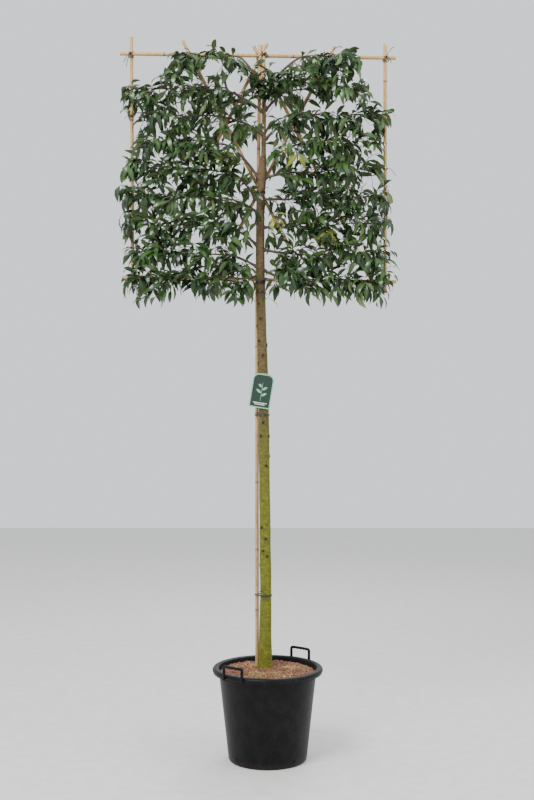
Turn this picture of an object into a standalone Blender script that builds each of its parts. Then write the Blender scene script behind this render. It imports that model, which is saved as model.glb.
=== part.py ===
"""Potted espalier laurel: a clear-stemmed evergreen trained flat on a rack of tied canes, growing in a black nursery pot.

The origin is the centre of the pot's flat underside. +Z is up, -Y is the side the rack is seen from, and +X is to the right of that view.
"""

import math
import random

import bmesh
import bpy
from mathutils import Matrix, Vector
from mathutils.bvhtree import BVHTree

# Driving sizes, in metres
CLEAR = 0.0003

POT_BASE_R = 0.1695
POT_CORNER = 0.008
POT_WALL_TOP_R = 0.2113
POT_WALL = 0.0028
POT_FLOOR = 0.0040
RIM_TOP = 0.400
RIM_R = 0.240
RIM_HEIGHT = 0.024
POT_SIDES = 36
DRAIN_COUNT = 8
DRAIN_R = 0.006
DRAIN_Z = 0.028
DRAIN_TURN = math.radians(-95.3)

HANDLE_TURN = math.radians(52.5)
HANDLE_SPAN = 0.098
HANDLE_RISE = 0.044
HANDLE_THICK = 0.010
HANDLE_WIDE = 0.012
GRIP_WAVE = 0.0015
GRIP_WAVES = 4

SOIL_EDGE = 0.377
SOIL_TOP = 0.388
SOIL_FLAT_R = 0.060

TRUNK_SIDES = 12
BARK_ROOT = 0.0315

CANE_R = 0.00815
CANE_PITCH = 2 * CANE_R + CLEAR
POST_DEPTH = 0.24
CANE_SIDES = 10
RACK_FRONT_Y = 0.0175

CROWN_TOP = 3.098
TOP_TIER = 0.148
TIER = 0.119
STEM_BELOW = 0.034
CROWN_FRONT = -0.135
CROWN_BACK = 0.160
CROWN_SPLIT = -0.017
CROWN_PART = 0.003

BOUGH_ROOT_R = 0.0062
BOUGH_TIP_R = 0.0038
COLLAR_HALF = 0.014
BOUGH_SIDES = 6
BOUGH_STEPS = 5

LEAF_LONG = 0.120
LEAF_WIDE = 0.044
LEAF_DEEP = 0.0036
LEAF_FOLD = 0.0040
LEAF_FOOT = 0.0010
FLAT_ANGLE = math.radians(0.2)
STEM_R = 0.0046
STEM_TIP_R = 0.0032
TWIG_FOOT_R = 0.0016
TWIG_R = 0.0034
TWIG_TIP_R = 0.0026

# Trunk, from the soil up: height, offset in X, offset in Y, radius
TRUNK_STATIONS = (
    (SOIL_TOP + CLEAR, -0.0118, 0.0340, 0.0350),
    (0.412, -0.0117, 0.0335, BARK_ROOT),
    (0.500, -0.0108, 0.0315, 0.0278),
    (0.705, -0.0083, 0.0265, 0.0248),
    (1.200, -0.0136, 0.0100, 0.0235),
    (1.406, -0.0162, 0.0040, 0.0229),
    (1.558, -0.0160, -0.0010, 0.0214),
    (1.776, -0.0235, -0.0080, 0.0213),
    (1.993, -0.0291, -0.0140, 0.0194),
    (2.210, -0.0317, -0.0140, 0.0176),
    (2.427, -0.0315, -0.0140, 0.0178),
    (2.492, -0.0268, -0.0140, 0.0190),
    (2.548, -0.0239, -0.0140, 0.0213),
    (2.590, -0.0205, -0.0130, 0.0150),
    (2.630, -0.0172, -0.0080, 0.0098),
    (2.690, -0.0161, -0.0030, 0.0088),
    (2.818, -0.0148, -0.0030, 0.0078),
    (2.913, -0.0143, -0.0030, 0.0062),
)

# Canes, as name: the two ends of each in X and Z, and its layer behind the front pair
CANES = {
    "left_upright": ((-0.5977, 3.1523), (-0.5933, 2.0587), 2),
    "right_upright": ((0.5165, 3.1259), (0.5156, 2.0279), 2),
    "top_rail": ((-0.6466, 3.0739), (0.5616, 3.0542), 1),
    "bottom_rail": ((-0.6378, 2.0929), (0.5616, 2.0754), 1),
    "centre_cane": ((-0.0159, 3.1040), (-0.0270, 2.0380), 0),
    "brace_left_down": ((-0.3720, 3.1347), (0.1902, 2.0433), 2),
    "brace_right_down": ((-0.0602, 3.1106), (0.4800, 2.0411), 2),
    "brace_left_up": ((0.2952, 3.1156), (-0.2631, 2.0471), 3),
    "brace_right_up": ((-0.0018, 3.1289), (-0.5451, 2.0647), 3),
}

# The long post that stands in the soil beside the trunk: height, X, Y
POST_ROUTE = (
    (SOIL_TOP - POST_DEPTH, -0.0467, 0.0660),
    (SOIL_TOP, -0.0467, 0.0608),
    (1.200, -0.0470, 0.0360),
    (2.000, -0.0466, RACK_FRONT_Y),
    (2.560, -0.0405, RACK_FRONT_Y),
    (3.107, -0.0328, RACK_FRONT_Y),
)

# Ties that hold the trunk to the canes: height, band height
TIES = (
    (0.705, 0.005),
    (1.493, 0.005),
    (2.025, 0.004),
    (2.066, 0.008),
    (2.458, 0.006),
)
TIE_THICK = 0.0022

LABEL_WIDE = 0.092
LABEL_HIGH = 0.148
LABEL_THICK = 0.0012
LABEL_CORNER = 0.026
LABEL_LEAN = math.radians(9.3)
LABEL_PLACE = (-0.0260, -0.0268, 1.597)

# Boughs from the top tier down: root height on the trunk, reach of the bough's tip, reach of its foliage
LEFT_BOUGHS = (
    (2.893, -0.138, -0.434),
    (2.810, -0.215, -0.647),
    (2.712, -0.186, -0.590),
    (2.523, -0.199, -0.590),
    (2.425, -0.173, -0.638),
    (2.372, -0.173, -0.647),
    (2.228, -0.186, -0.647),
    (2.135, -0.199, -0.638),
    (2.098, -0.142, -0.642),
)
RIGHT_BOUGHS = (
    (2.896, 0.170, 0.420),
    (2.815, 0.106, 0.450),
    (2.689, 0.130, 0.562),
    (2.589, 0.150, 0.505),
    (2.523, 0.140, 0.512),
    (2.428, 0.106, 0.545),
    (2.306, 0.119, 0.530),
    (2.209, 0.150, 0.571),
    (2.120, 0.140, 0.571),
)

COLOURS = {
    "pot": ((0.018, 0.018, 0.020, 1.0), 0.55),
    "soil": ((0.230, 0.105, 0.055, 1.0), 0.95),
    "bark": ((0.190, 0.150, 0.060, 1.0), 0.80),
    "twig": ((0.110, 0.070, 0.040, 1.0), 0.75),
    "cane": ((0.560, 0.390, 0.200, 1.0), 0.60),
    "tie": ((0.012, 0.012, 0.013, 1.0), 0.50),
    "label": ((0.030, 0.160, 0.080, 1.0), 0.35),
    "leaf": ((0.030, 0.100, 0.030, 1.0), 0.40),
}


def clear_scene():
    for thing in list(bpy.data.objects):
        bpy.data.objects.remove(thing, do_unlink=True)


def material(name):
    made = bpy.data.materials.get(name)
    if made:
        return made
    colour, roughness = COLOURS[name]
    made = bpy.data.materials.new(name)
    made.use_nodes = True
    shader = made.node_tree.nodes["Principled BSDF"]
    shader.inputs["Base Color"].default_value = colour
    shader.inputs["Roughness"].default_value = roughness
    shader.inputs["Metallic"].default_value = 0.0
    return made


def new_object(name, shape, finish, smooth=True, crease=40):
    """One object from a (points, faces) shape, its faces turned outwards."""
    points, faces = shape
    mesh = bpy.data.meshes.new(name)
    mesh.from_pydata([tuple(p) for p in points], [], faces)
    mesh.validate()
    work = bmesh.new()
    work.from_mesh(mesh)
    bmesh.ops.recalc_face_normals(work, faces=work.faces)
    work.to_mesh(mesh)
    work.free()
    mesh.materials.append(material(finish))
    if smooth:
        mesh.shade_smooth()
        mesh.set_sharp_from_angle(angle=math.radians(crease))
    thing = bpy.data.objects.new(name, mesh)
    bpy.context.scene.collection.objects.link(thing)
    return thing


def settle(thing):
    """Applies the object's modifiers to its mesh."""
    graph = bpy.context.evaluated_depsgraph_get()
    mesh = bpy.data.meshes.new_from_object(thing.evaluated_get(graph))
    thing.modifiers.clear()
    thing.data = mesh
    return thing


# Basic shapes, each a list of points and a list of faces

def turned(profile, sides, centres=None):
    """A solid turned about Z from (radius, height) points that start and end on the axis; centres may shift each ring."""
    points = []
    rows = []
    for index, (radius, height) in enumerate(profile):
        shift = centres[index] if centres else (0.0, 0.0)
        if radius == 0.0:
            rows.append([len(points)])
            points.append(Vector((shift[0], shift[1], height)))
            continue
        row = []
        for step in range(sides):
            angle = 2 * math.pi * step / sides
            row.append(len(points))
            points.append(Vector((shift[0] + radius * math.cos(angle), shift[1] + radius * math.sin(angle), height)))
        rows.append(row)
    faces = []
    for low, high in zip(rows, rows[1:]):
        for step in range(sides):
            after = (step + 1) % sides
            if len(low) == 1:
                faces.append((low[0], high[step], high[after]))
            elif len(high) == 1:
                faces.append((low[step], low[after], high[0]))
            else:
                faces.append((low[step], low[after], high[after], high[step]))
    return points, faces


def joined_rings(rings):
    """A closed tube through rings of equal length, with a flat cap at each end."""
    count = len(rings[0])
    points = [p for ring in rings for p in ring]
    faces = [tuple(reversed(range(count)))]
    for row in range(len(rings) - 1):
        for step in range(count):
            after = (step + 1) % count
            low = row * count
            high = low + count
            faces.append((low + step, low + after, high + after, high + step))
    faces.append(tuple((len(rings) - 1) * count + step for step in range(count)))
    return points, faces


def across(way):
    """The row axis that lies most nearly square to a direction."""
    axes = (Vector((0, 1, 0)), Vector((0, 0, 1)), Vector((1, 0, 0)))
    return min(axes, key=lambda axis: abs(axis.dot(way)))


def limb(centres, radii, sides, root_x=None):
    """A tube along centres; root_x cuts its first ring flat against an upright limb there."""
    guide = across((centres[-1] - centres[0]).normalized())
    rings = []
    for index, centre in enumerate(centres):
        before = centres[max(index - 1, 0)]
        after = centres[min(index + 1, len(centres) - 1)]
        way = (after - before).normalized()
        first = (guide - way * guide.dot(way)).normalized()
        second = way.cross(first)
        ring = []
        for step in range(sides):
            angle = 2 * math.pi * step / sides
            point = centre + (first * math.cos(angle) + second * math.sin(angle)) * radii[index]
            if index == 0 and root_x is not None:
                point = point + way * ((root_x - point.x) / way.x)
            ring.append(point)
        rings.append(ring)
    return joined_rings(rings)


def hull_outline(circles, sides):
    """The outline, in X and Y, of a string pulled tight round circles given as (x, y, radius)."""
    spots = set()
    for x, y, radius in circles:
        for step in range(sides):
            angle = 2 * math.pi * (step + 0.5) / sides
            spots.add((x + radius * math.cos(angle), y + radius * math.sin(angle)))
    ordered = sorted(spots)

    def turn(a, b, c):
        return (b[0] - a[0]) * (c[1] - a[1]) - (b[1] - a[1]) * (c[0] - a[0])

    def half(run):
        kept = []
        for spot in run:
            while len(kept) > 1 and turn(kept[-2], kept[-1], spot) <= 1e-9:
                kept.pop()
            kept.append(spot)
        return kept[:-1]

    return half(ordered) + half(reversed(ordered))


def band(inner, outer, low, high):
    """A closed hoop between two outlines of equal length."""
    count = len(inner)
    points = []
    for outline, height in ((inner, low), (outer, low), (outer, high), (inner, high)):
        points += [Vector((x, y, height)) for x, y in outline]
    faces = []
    for row in range(4):
        for step in range(count):
            after = (step + 1) % count
            here = row * count
            there = (row + 1) % 4 * count
            faces.append((here + step, here + after, there + after, there + step))
    return points, faces


# Pot, handles and soil

def wall_radius(height):
    """Outer radius of the pot's tapering wall."""
    return POT_BASE_R + (POT_WALL_TOP_R - POT_BASE_R) * height / (RIM_TOP - RIM_HEIGHT)


def make_pot():
    under_rim = RIM_TOP - RIM_HEIGHT
    inside_top = wall_radius(RIM_TOP) - POT_WALL
    profile = [
        (0.0, 0.0),
        (POT_BASE_R - POT_CORNER, 0.0),
        (POT_BASE_R - 0.3 * POT_CORNER, 0.3 * POT_CORNER),
        (wall_radius(POT_CORNER), POT_CORNER),
        (wall_radius(under_rim), under_rim),
    ]
    half = RIM_HEIGHT / 2
    middle = RIM_R - half
    for step in range(5):
        angle = math.radians(-90 + 45 * step)
        profile.append((middle + half * math.cos(angle), RIM_TOP - half + half * math.sin(angle)))
    profile += [
        (inside_top + 0.002, RIM_TOP - 0.003),
        (inside_top, RIM_TOP - 0.010),
        (wall_radius(POT_FLOOR) - POT_WALL, POT_FLOOR),
        (0.0, POT_FLOOR),
    ]
    pot = new_object("pot", turned(profile, POT_SIDES), "pot")
    for index in range(DRAIN_COUNT):
        angle = DRAIN_TURN + 2 * math.pi * index / DRAIN_COUNT
        outward = Vector((math.cos(angle), math.sin(angle), 0.0))
        near = outward * (wall_radius(DRAIN_Z) - 0.02) + Vector((0, 0, DRAIN_Z))
        far = outward * (wall_radius(DRAIN_Z) + 0.02) + Vector((0, 0, DRAIN_Z))
        drill = new_object(f"drain_drill_{index}", limb([near, far], [DRAIN_R, DRAIN_R], 8), "pot", smooth=False)
        cut = pot.modifiers.new("drain", "BOOLEAN")
        cut.operation = "DIFFERENCE"
        cut.solver = "EXACT"
        cut.object = drill
        settle(pot)
        bpy.data.objects.remove(drill, do_unlink=True)
    return pot


def rim_at(angle):
    """Distance from the axis to the rim's many-sided outer face."""
    facet = 2 * math.pi / POT_SIDES
    return RIM_R * math.cos(facet / 2) / math.cos(angle % facet - facet / 2)


def handle_shape(turn):
    """An arched carrying handle that follows the rim, its feet against the rim's outer face."""
    reach = RIM_R + HANDLE_THICK / 2
    half_turn = HANDLE_SPAN / 2 / reach
    foot_z = RIM_TOP - RIM_HEIGHT + 0.002
    bar_z = RIM_TOP + HANDLE_RISE - HANDLE_WIDE / 2
    corner = 0.008
    route = [
        (-half_turn, foot_z),
        (-half_turn, RIM_TOP),
        (-half_turn, bar_z - corner),
        (-half_turn + 0.3 * corner / reach, bar_z - 0.3 * corner),
        (-half_turn + corner / reach, bar_z),
    ]
    grip_from = -half_turn + 2 * corner / reach
    grip_steps = 2 * GRIP_WAVES
    for step in range(grip_steps + 1):
        route.append((grip_from * (1 - 2 * step / grip_steps), bar_z))
    route += [(-angle, height) for angle, height in reversed(route[:5])]
    rings = []
    for index, (angle, height) in enumerate(route):
        before = route[max(index - 1, 0)]
        after = route[min(index + 1, len(route) - 1)]
        along = Vector(((after[0] - before[0]) * reach, after[1] - before[1])).normalized()
        wave = 0.0
        if 5 <= index < 5 + grip_steps + 1:
            wave = GRIP_WAVE * (-1) ** index
        ring = []
        for radial, depth in ((-1, -0.5), (-0.5, -1), (0.5, -1), (1, -0.5), (1, 0.5), (0.5, 1), (-0.5, 1), (-1, 0.5)):
            out = radial * HANDLE_THICK / 2
            rise = depth * HANDLE_WIDE / 2
            if depth < 0:
                rise -= wave
            spot_angle = turn + angle + rise * -along.y / reach
            spot_z = height + rise * along.x
            radius = rim_at(spot_angle) + CLEAR + HANDLE_THICK / 2 + out
            ring.append(Vector((radius * math.cos(spot_angle), radius * math.sin(spot_angle), spot_z)))
        rings.append(ring)
    return joined_rings(rings)


def make_soil():
    """The root ball's top, mounded to a flat where the trunk stands, filling the pot."""
    trunk_foot = TRUNK_STATIONS[0][1:3]
    low = POT_FLOOR + CLEAR
    edge_r = wall_radius(SOIL_EDGE) - POT_WALL - 0.0008
    low_r = wall_radius(low) - POT_WALL - 0.0008
    profile = [(0.0, low), (low_r, low), (edge_r, SOIL_EDGE)]
    centres = [(0.0, 0.0)] * 3
    for share in (0.35, 0.7, 1.0):
        profile.append((edge_r + (SOIL_FLAT_R - edge_r) * share, SOIL_EDGE + (SOIL_TOP - SOIL_EDGE) * share))
        centres.append((trunk_foot[0] * share, trunk_foot[1] * share))
    profile.append((0.0, SOIL_TOP))
    centres.append(trunk_foot)
    soil = new_object("soil", turned(profile, POT_SIDES, centres), "soil")
    hole_route = [Vector((x, y, z)) for z, x, y in POST_ROUTE[:2]]
    rise = (hole_route[1] - hole_route[0]).normalized()
    hole_route = [hole_route[0] - rise * CLEAR, hole_route[1] + rise * 0.02]
    drill = new_object("post_socket", limb(hole_route, [CANE_R + 0.0008] * 2, 12), "soil", smooth=False)
    cut = soil.modifiers.new("socket", "BOOLEAN")
    cut.operation = "DIFFERENCE"
    cut.solver = "EXACT"
    cut.object = drill
    settle(soil)
    bpy.data.objects.remove(drill, do_unlink=True)
    return soil


# Trunk, canes, ties and label

def trunk_at(height):
    """The trunk's centre and radius at a height."""
    for low, high in zip(TRUNK_STATIONS, TRUNK_STATIONS[1:]):
        if height <= high[0]:
            share = max(0.0, (height - low[0]) / (high[0] - low[0]))
            return tuple(a + (b - a) * share for a, b in zip(low[1:], high[1:]))
    return TRUNK_STATIONS[-1][1:]


def trunk_shape(extra=0.0):
    """Level rings, so that the foot is a flat cut; a point of each ring faces +X and -X."""
    rings = []
    for height, x, y, radius in TRUNK_STATIONS:
        ring = []
        for step in range(TRUNK_SIDES):
            angle = 2 * math.pi * step / TRUNK_SIDES
            ring.append(Vector((x + (radius + extra) * math.cos(angle), y + (radius + extra) * math.sin(angle), height)))
        rings.append(ring)
    return joined_rings(rings)


def post_at(height):
    """The post's centre at a height."""
    for low, high in zip(POST_ROUTE, POST_ROUTE[1:]):
        if height <= high[0]:
            share = (height - low[0]) / (high[0] - low[0])
            return tuple(a + (b - a) * share for a, b in zip(low[1:], high[1:]))
    return POST_ROUTE[-1][1:]


def post_shape(extra=0.0):
    centres = [Vector((x, y, z)) for z, x, y in POST_ROUTE]
    return limb(centres, [CANE_R + extra] * len(centres), CANE_SIDES)


def cane_shape(name, extra=0.0):
    (x0, z0), (x1, z1), layer = CANES[name]
    depth = RACK_FRONT_Y + layer * CANE_PITCH
    ends = [Vector((x0, depth, z0)), Vector((x1, depth, z1))]
    return limb(ends, [CANE_R + extra] * 2, CANE_SIDES)


def tie_shape(height, tall):
    """A band pulled tight round the trunk and the canes beside it."""
    x, y, radius = trunk_at(height)
    lower = trunk_at(height - tall)
    upper = trunk_at(height + tall)
    widest = max(radius, lower[2], upper[2]) + max(abs(lower[0] - upper[0]), abs(lower[1] - upper[1])) / 2
    sides = 12
    slack = 1 / math.cos(math.pi / sides)
    circles = [(x, y, (widest + 2 * CLEAR) * slack)]
    held = [post_at(height)]
    (top_x, top_z), (low_x, low_z), layer = CANES["centre_cane"]
    if height > low_z - tall:
        share = (height - low_z) / (top_z - low_z)
        held.append((low_x + (top_x - low_x) * share, RACK_FRONT_Y))
    for cane_x, cane_y in held:
        circles.append((cane_x, cane_y, (CANE_R + 3 * CLEAR) * slack))
    inner = hull_outline(circles, sides)
    middle = (sum(p[0] for p in inner) / len(inner), sum(p[1] for p in inner) / len(inner))
    outer = []
    for spot in inner:
        away = Vector((spot[0] - middle[0], spot[1] - middle[1]))
        away = away.normalized() * TIE_THICK
        outer.append((spot[0] + away.x, spot[1] + away.y))
    return band(inner, outer, height - tall / 2, height + tall / 2)


def label_shape():
    """A plastic card with an arched top, hung on the front of the trunk."""
    half = LABEL_WIDE / 2
    high = LABEL_HIGH / 2
    outline = [(-half, -high), (half, -high)]
    steps = 4
    for side in (1, -1):
        turns = range(steps + 1) if side == 1 else range(steps, -1, -1)
        for step in turns:
            angle = math.pi / 2 * step / steps
            x = side * (half - LABEL_CORNER + LABEL_CORNER * math.cos(angle))
            outline.append((x, high - LABEL_CORNER + LABEL_CORNER * math.sin(angle)))
    lean = Matrix.Rotation(LABEL_LEAN, 3, "Y")
    place = Vector(LABEL_PLACE)
    rings = []
    for depth in (-LABEL_THICK / 2, LABEL_THICK / 2):
        rings.append([place + lean @ Vector((x, depth, z)) for x, z in outline])
    return joined_rings(rings)


# Boughs

def tier_top(index):
    """Top of a tier of foliage, the first tier being the taller one."""
    return CROWN_TOP if index == 0 else CROWN_TOP - TOP_TIER - TIER * (index - 1)


def bough_route(index, side, root_z, tip_x):
    """Centres of a bough that leaves the trunk steeply and levels out under its tier's top."""
    x, y, radius = trunk_at(root_z)
    around = [trunk_at(root_z + COLLAR_HALF * share) for share in (-1, -0.5, 0, 0.5, 1)]
    root_x = side * (max(side * spot[0] + spot[2] for spot in around) + CLEAR)
    tip_z = tier_top(index) - STEM_BELOW - 0.012
    tip_y = y + 0.003 * (-1) ** index
    route = []
    for step in range(BOUGH_STEPS + 1):
        share = step / BOUGH_STEPS
        lift = 1 - (1 - share) ** 1.7
        route.append(Vector((root_x + (tip_x - root_x) * share, y + (tip_y - y) * share, root_z + (tip_z - root_z) * lift)))
    return route, root_x


def bough_shape(route, root_x, extra=0.0):
    radii = []
    for step in range(len(route)):
        share = step / (len(route) - 1)
        collar = 0.0022 * max(0.0, 1 - 5 * share)
        radii.append(BOUGH_ROOT_R + (BOUGH_TIP_R - BOUGH_ROOT_R) * share + collar + extra)
    return limb(route, radii, BOUGH_SIDES, root_x)


# Foliage

def leaf_shape(root, way, droop, face):
    """A folded leaf of three long edges that arches over: a slim foot, its widest part and a pointed tip."""
    side = way.cross(face).normalized()
    top = side.cross(way).normalized()
    widest = root + way * LEAF_LONG * 0.42
    further = (way + Vector((0, 0, -droop))).normalized()
    far_top = side.cross(further).normalized()
    tip = widest + further * LEAF_LONG * 0.58
    points = []
    for centre, half, deep, fold, up in (
        (root, LEAF_FOOT, LEAF_FOOT, 0.0, top),
        (widest, LEAF_WIDE / 2, LEAF_DEEP, LEAF_FOLD, (top + far_top).normalized()),
    ):
        points.append(centre + side * half + up * fold)
        points.append(centre - side * half + up * fold)
        points.append(centre - up * deep)
    points.append(tip)
    faces = [(0, 1, 2), (0, 3, 4, 1), (1, 4, 5, 2), (2, 5, 3, 0), (3, 6, 4), (4, 6, 5), (5, 6, 3)]
    return points, faces


def fat_blockers(boughs):
    """One search tree of everything foliage must stay clear of, each piece a millimetre proud."""
    shapes = [trunk_shape(0.001), post_shape(0.001)]
    shapes += [cane_shape(name, 0.001) for name in CANES]
    shapes += [tie_shape(height, tall) for height, tall in TIES]
    for route, root_x in boughs:
        shapes.append(bough_shape(route, root_x, 0.001))
    points = []
    faces = []
    for shape_points, shape_faces in shapes:
        start = len(points)
        points += shape_points
        faces += [tuple(start + corner for corner in face) for face in shape_faces]
    return BVHTree.FromPolygons(points, faces)


class Space:
    """The room that one mass of foliage keeps to, and what already stands in it."""

    def __init__(self, low, high, blockers):
        self.low = Vector(low)
        self.high = Vector(high)
        self.blockers = blockers
        self.grown = []

    def holds(self, shape):
        return all(self.low[i] <= p[i] <= self.high[i] for p in shape[0] for i in range(3))

    def admits(self, shape, carrier):
        """Whether a shape fits here, crossing nothing but the twig that carries it."""
        if not self.holds(shape):
            return False
        tree = BVHTree.FromPolygons(*shape)
        if tree.overlap(self.blockers):
            return False
        return not any(other is not carrier and tree.overlap(grown) for other, grown in self.grown)

    def take(self, shape):
        self.grown.append((shape, BVHTree.FromPolygons(*shape)))


def stem_route(start, way, end, rng):
    """The main stem of a mass: straight on from its bough, then a gentle wave out to the tip."""
    steps = 5
    route = [start]
    for step in range(1, steps + 1):
        share = step / steps
        spot = start.lerp(end, share)
        bend = math.sin(math.pi * share)
        route.append(spot + Vector((0, 0.010 * bend * rng.uniform(-1, 1), 0.012 * bend * rng.uniform(-0.4, 1))))
    route[1] = route[0] + way * (route[1] - route[0]).length
    return route


def point_along(route, share):
    """A point of a route and the direction there, by share of its steps."""
    run = share * (len(route) - 1)
    index = min(int(run), len(route) - 2)
    return route[index].lerp(route[index + 1], run - index), (route[index + 1] - route[index]).normalized()


def grow_leaves(space, twig, route, shares, side, rng, tries=14):
    """Leaves set alternately along a twig, each turned until it fits the space or skipped."""
    leaves = []
    for number, share in enumerate(shares):
        root, along = point_along(route, share)
        for attempt in range(tries):
            hand = (-1) ** (number + attempt)
            sway = Vector((0, 0, 1)).cross(along).normalized() * hand * rng.uniform(0.3, 1.1)
            way = (along * rng.uniform(0.3, 1.0) + sway + Vector((0, 0, rng.uniform(-0.55, 0.35)))).normalized()
            face = Vector((side * rng.uniform(-0.3, 0.5), rng.uniform(-1.5, 1.1), rng.uniform(0.3, 1.0))).normalized()
            if abs(face.dot(way)) > 0.85:
                continue
            shape = leaf_shape(root, way, rng.uniform(0.4, 1.3), face)
            if space.admits(shape, twig):
                space.take(shape)
                leaves.append(shape)
                break
    return leaves


def grow_mass(index, side, bough, reach_x, blockers):
    """All shapes of one mass: the stem first, then its twigs and leaves."""
    rng = random.Random(100 * index + (7 if side > 0 else 3))
    top = tier_top(index)
    inner_x = CROWN_SPLIT + side * CROWN_PART
    low = (min(inner_x, reach_x), CROWN_FRONT, tier_top(index + 1) + 0.0008)
    high = (max(inner_x, reach_x), CROWN_BACK, top - 0.0008)
    space = Space(low, high, blockers)
    way = (bough[-1] - bough[-2]).normalized()
    start = bough[-1] + way * CLEAR
    end = Vector((reach_x - side * 0.045, start.y, top - STEM_BELOW))
    stem = stem_route(start, way, end, rng)
    radii = [STEM_R + (STEM_TIP_R - STEM_R) * step / 5 for step in range(6)]
    trunk_side = limb(stem, radii, 3)
    space.take(trunk_side)
    shapes = [trunk_side]
    outward = Vector((side, 0, 0))
    length = abs(end.x - start.x)
    count = max(4, round(length / 0.062))
    for number in range(-2, count):
        inward = number < 0
        share = 0.05 + 0.05 * (number + 2) if inward else (number + 0.6) / count
        root, along = point_along(stem, share)
        hand = (-1) ** (number + index)
        lean = -outward * rng.uniform(0.9, 1.2) if inward else outward * rng.uniform(0.5, 1.0)
        for attempt in range(8):
            deep = hand * rng.uniform(0.35, 1.0)
            way = (lean + Vector((0, deep, rng.uniform(-0.35, 0.25)))).normalized()
            size = rng.uniform(0.085, 0.125) * (1 - 0.08 * attempt)
            twig = [root, root + way * size * 0.45, root + way * size - Vector((0, 0, 0.006))]
            shape = limb(twig, [TWIG_FOOT_R, TWIG_R, TWIG_TIP_R], 3)
            if space.admits(shape, trunk_side):
                space.take(shape)
                shapes.append(shape)
                shapes += grow_leaves(space, shape, twig, (0.98, 0.70, 0.42), side, rng)
                break
    shapes += grow_leaves(space, trunk_side, stem, [0.99] + [(n + 0.3) / count for n in range(1, count)], side, rng)
    return shapes


def bodies_of(work):
    """The separate bodies of a mesh, each a list of faces, largest first."""
    left = set(work.faces)
    found = []
    while left:
        body = [left.pop()]
        for face in body:
            for edge in face.edges:
                for other in edge.link_faces:
                    if other in left:
                        left.remove(other)
                        body.append(other)
        found.append(body)
    return sorted(found, key=len, reverse=True)


def fuse(name, shapes, finish):
    """One body from overlapping closed shapes; a loose scrap or a sealed hollow is dropped."""
    base = new_object(name, shapes[0], finish, smooth=False)
    group = bpy.data.collections.new(name + "_parts")
    bpy.context.scene.collection.children.link(group)
    for number, shape in enumerate(shapes[1:]):
        piece = new_object(f"{name}_part_{number}", shape, finish, smooth=False)
        bpy.context.scene.collection.objects.unlink(piece)
        group.objects.link(piece)
    union = base.modifiers.new("fuse", "BOOLEAN")
    union.operation = "UNION"
    union.solver = "MANIFOLD"
    union.operand_type = "COLLECTION"
    union.collection = group
    settle(base)
    for piece in list(group.objects):
        bpy.data.objects.remove(piece, do_unlink=True)
    bpy.data.collections.remove(group)
    work = bmesh.new()
    work.from_mesh(base.data)
    scraps = [face for body in bodies_of(work)[1:] for face in body]
    bmesh.ops.delete(work, geom=scraps, context="FACES")
    bmesh.ops.dissolve_limit(work, angle_limit=FLAT_ANGLE, verts=work.verts, edges=work.edges)
    work.to_mesh(base.data)
    work.free()
    return base


def main():
    clear_scene()
    make_pot()
    new_object("handle_back", handle_shape(HANDLE_TURN), "pot")
    new_object("handle_front", handle_shape(HANDLE_TURN + math.pi), "pot")
    make_soil()
    new_object("trunk", trunk_shape(), "bark")
    new_object("post_cane", post_shape(), "cane")
    for name in CANES:
        new_object(name, cane_shape(name), "cane")
    for number, (height, tall) in enumerate(TIES, 1):
        new_object(f"tie_{number}", tie_shape(height, tall), "tie")
    new_object("label_card", label_shape(), "label", smooth=False)

    boughs = {}
    for side, word, rows in ((-1, "left", LEFT_BOUGHS), (1, "right", RIGHT_BOUGHS)):
        for index, (root_z, tip_x, reach_x) in enumerate(rows):
            boughs[side, index] = (word, *bough_route(index, side, root_z, tip_x), reach_x)
    blockers = fat_blockers([(route, root_x) for word, route, root_x, reach_x in boughs.values()])
    for (side, index), (word, route, root_x, reach_x) in boughs.items():
        new_object(f"bough_{word}_{index + 1}", bough_shape(route, root_x), "twig")
        fuse(f"foliage_{word}_{index + 1}", grow_mass(index, side, route, reach_x, blockers), "leaf")


main()
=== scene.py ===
"""Looks of a potted espalier laurel: bark, bamboo, black plastic, bark chips and glossy leaves.

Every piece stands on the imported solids. -Y is the side the rack is seen from,
and +X is to the right of that view.
"""

import math
import random

import bmesh
import bpy
from mathutils import Euler, Matrix, Vector, noise
from mathutils.bvhtree import BVHTree


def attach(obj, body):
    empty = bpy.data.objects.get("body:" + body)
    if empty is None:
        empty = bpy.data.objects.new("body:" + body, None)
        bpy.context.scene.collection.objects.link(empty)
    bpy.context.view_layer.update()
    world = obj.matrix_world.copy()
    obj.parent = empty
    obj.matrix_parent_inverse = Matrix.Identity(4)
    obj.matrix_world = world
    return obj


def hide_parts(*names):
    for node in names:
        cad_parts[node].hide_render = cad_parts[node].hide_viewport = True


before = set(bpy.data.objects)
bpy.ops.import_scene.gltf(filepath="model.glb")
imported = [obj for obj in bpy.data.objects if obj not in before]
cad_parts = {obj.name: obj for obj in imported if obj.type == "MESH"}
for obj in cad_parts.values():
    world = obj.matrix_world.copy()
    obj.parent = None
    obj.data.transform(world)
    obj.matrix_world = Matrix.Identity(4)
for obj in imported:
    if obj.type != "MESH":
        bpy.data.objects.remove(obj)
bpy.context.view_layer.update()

# Places and sizes that the solids were made with, in metres
POT_BASE_R = 0.1695
POT_WALL_TOP_R = 0.2113
POT_WALL = 0.0028
RIM_TOP = 0.400
RIM_R = 0.240
RIM_HEIGHT = 0.024
DRAIN_COUNT = 8
DRAIN_R = 0.006
DRAIN_Z = 0.028
DRAIN_TURN = math.radians(-95.3)
HANDLE_TURN = math.radians(52.5)
HANDLE_SPAN = 0.098
HANDLE_RISE = 0.044
HANDLE_THICK = 0.010
HANDLE_WIDE = 0.012
CLEAR = 0.0003
SOIL_EDGE = 0.377
SOIL_TOP = 0.388
SOIL_FLAT_R = 0.060
CANE_R = 0.00815
CANE_PITCH = 0.0166
RACK_FRONT_Y = 0.0175
CROWN_TOP = 3.098
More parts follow.
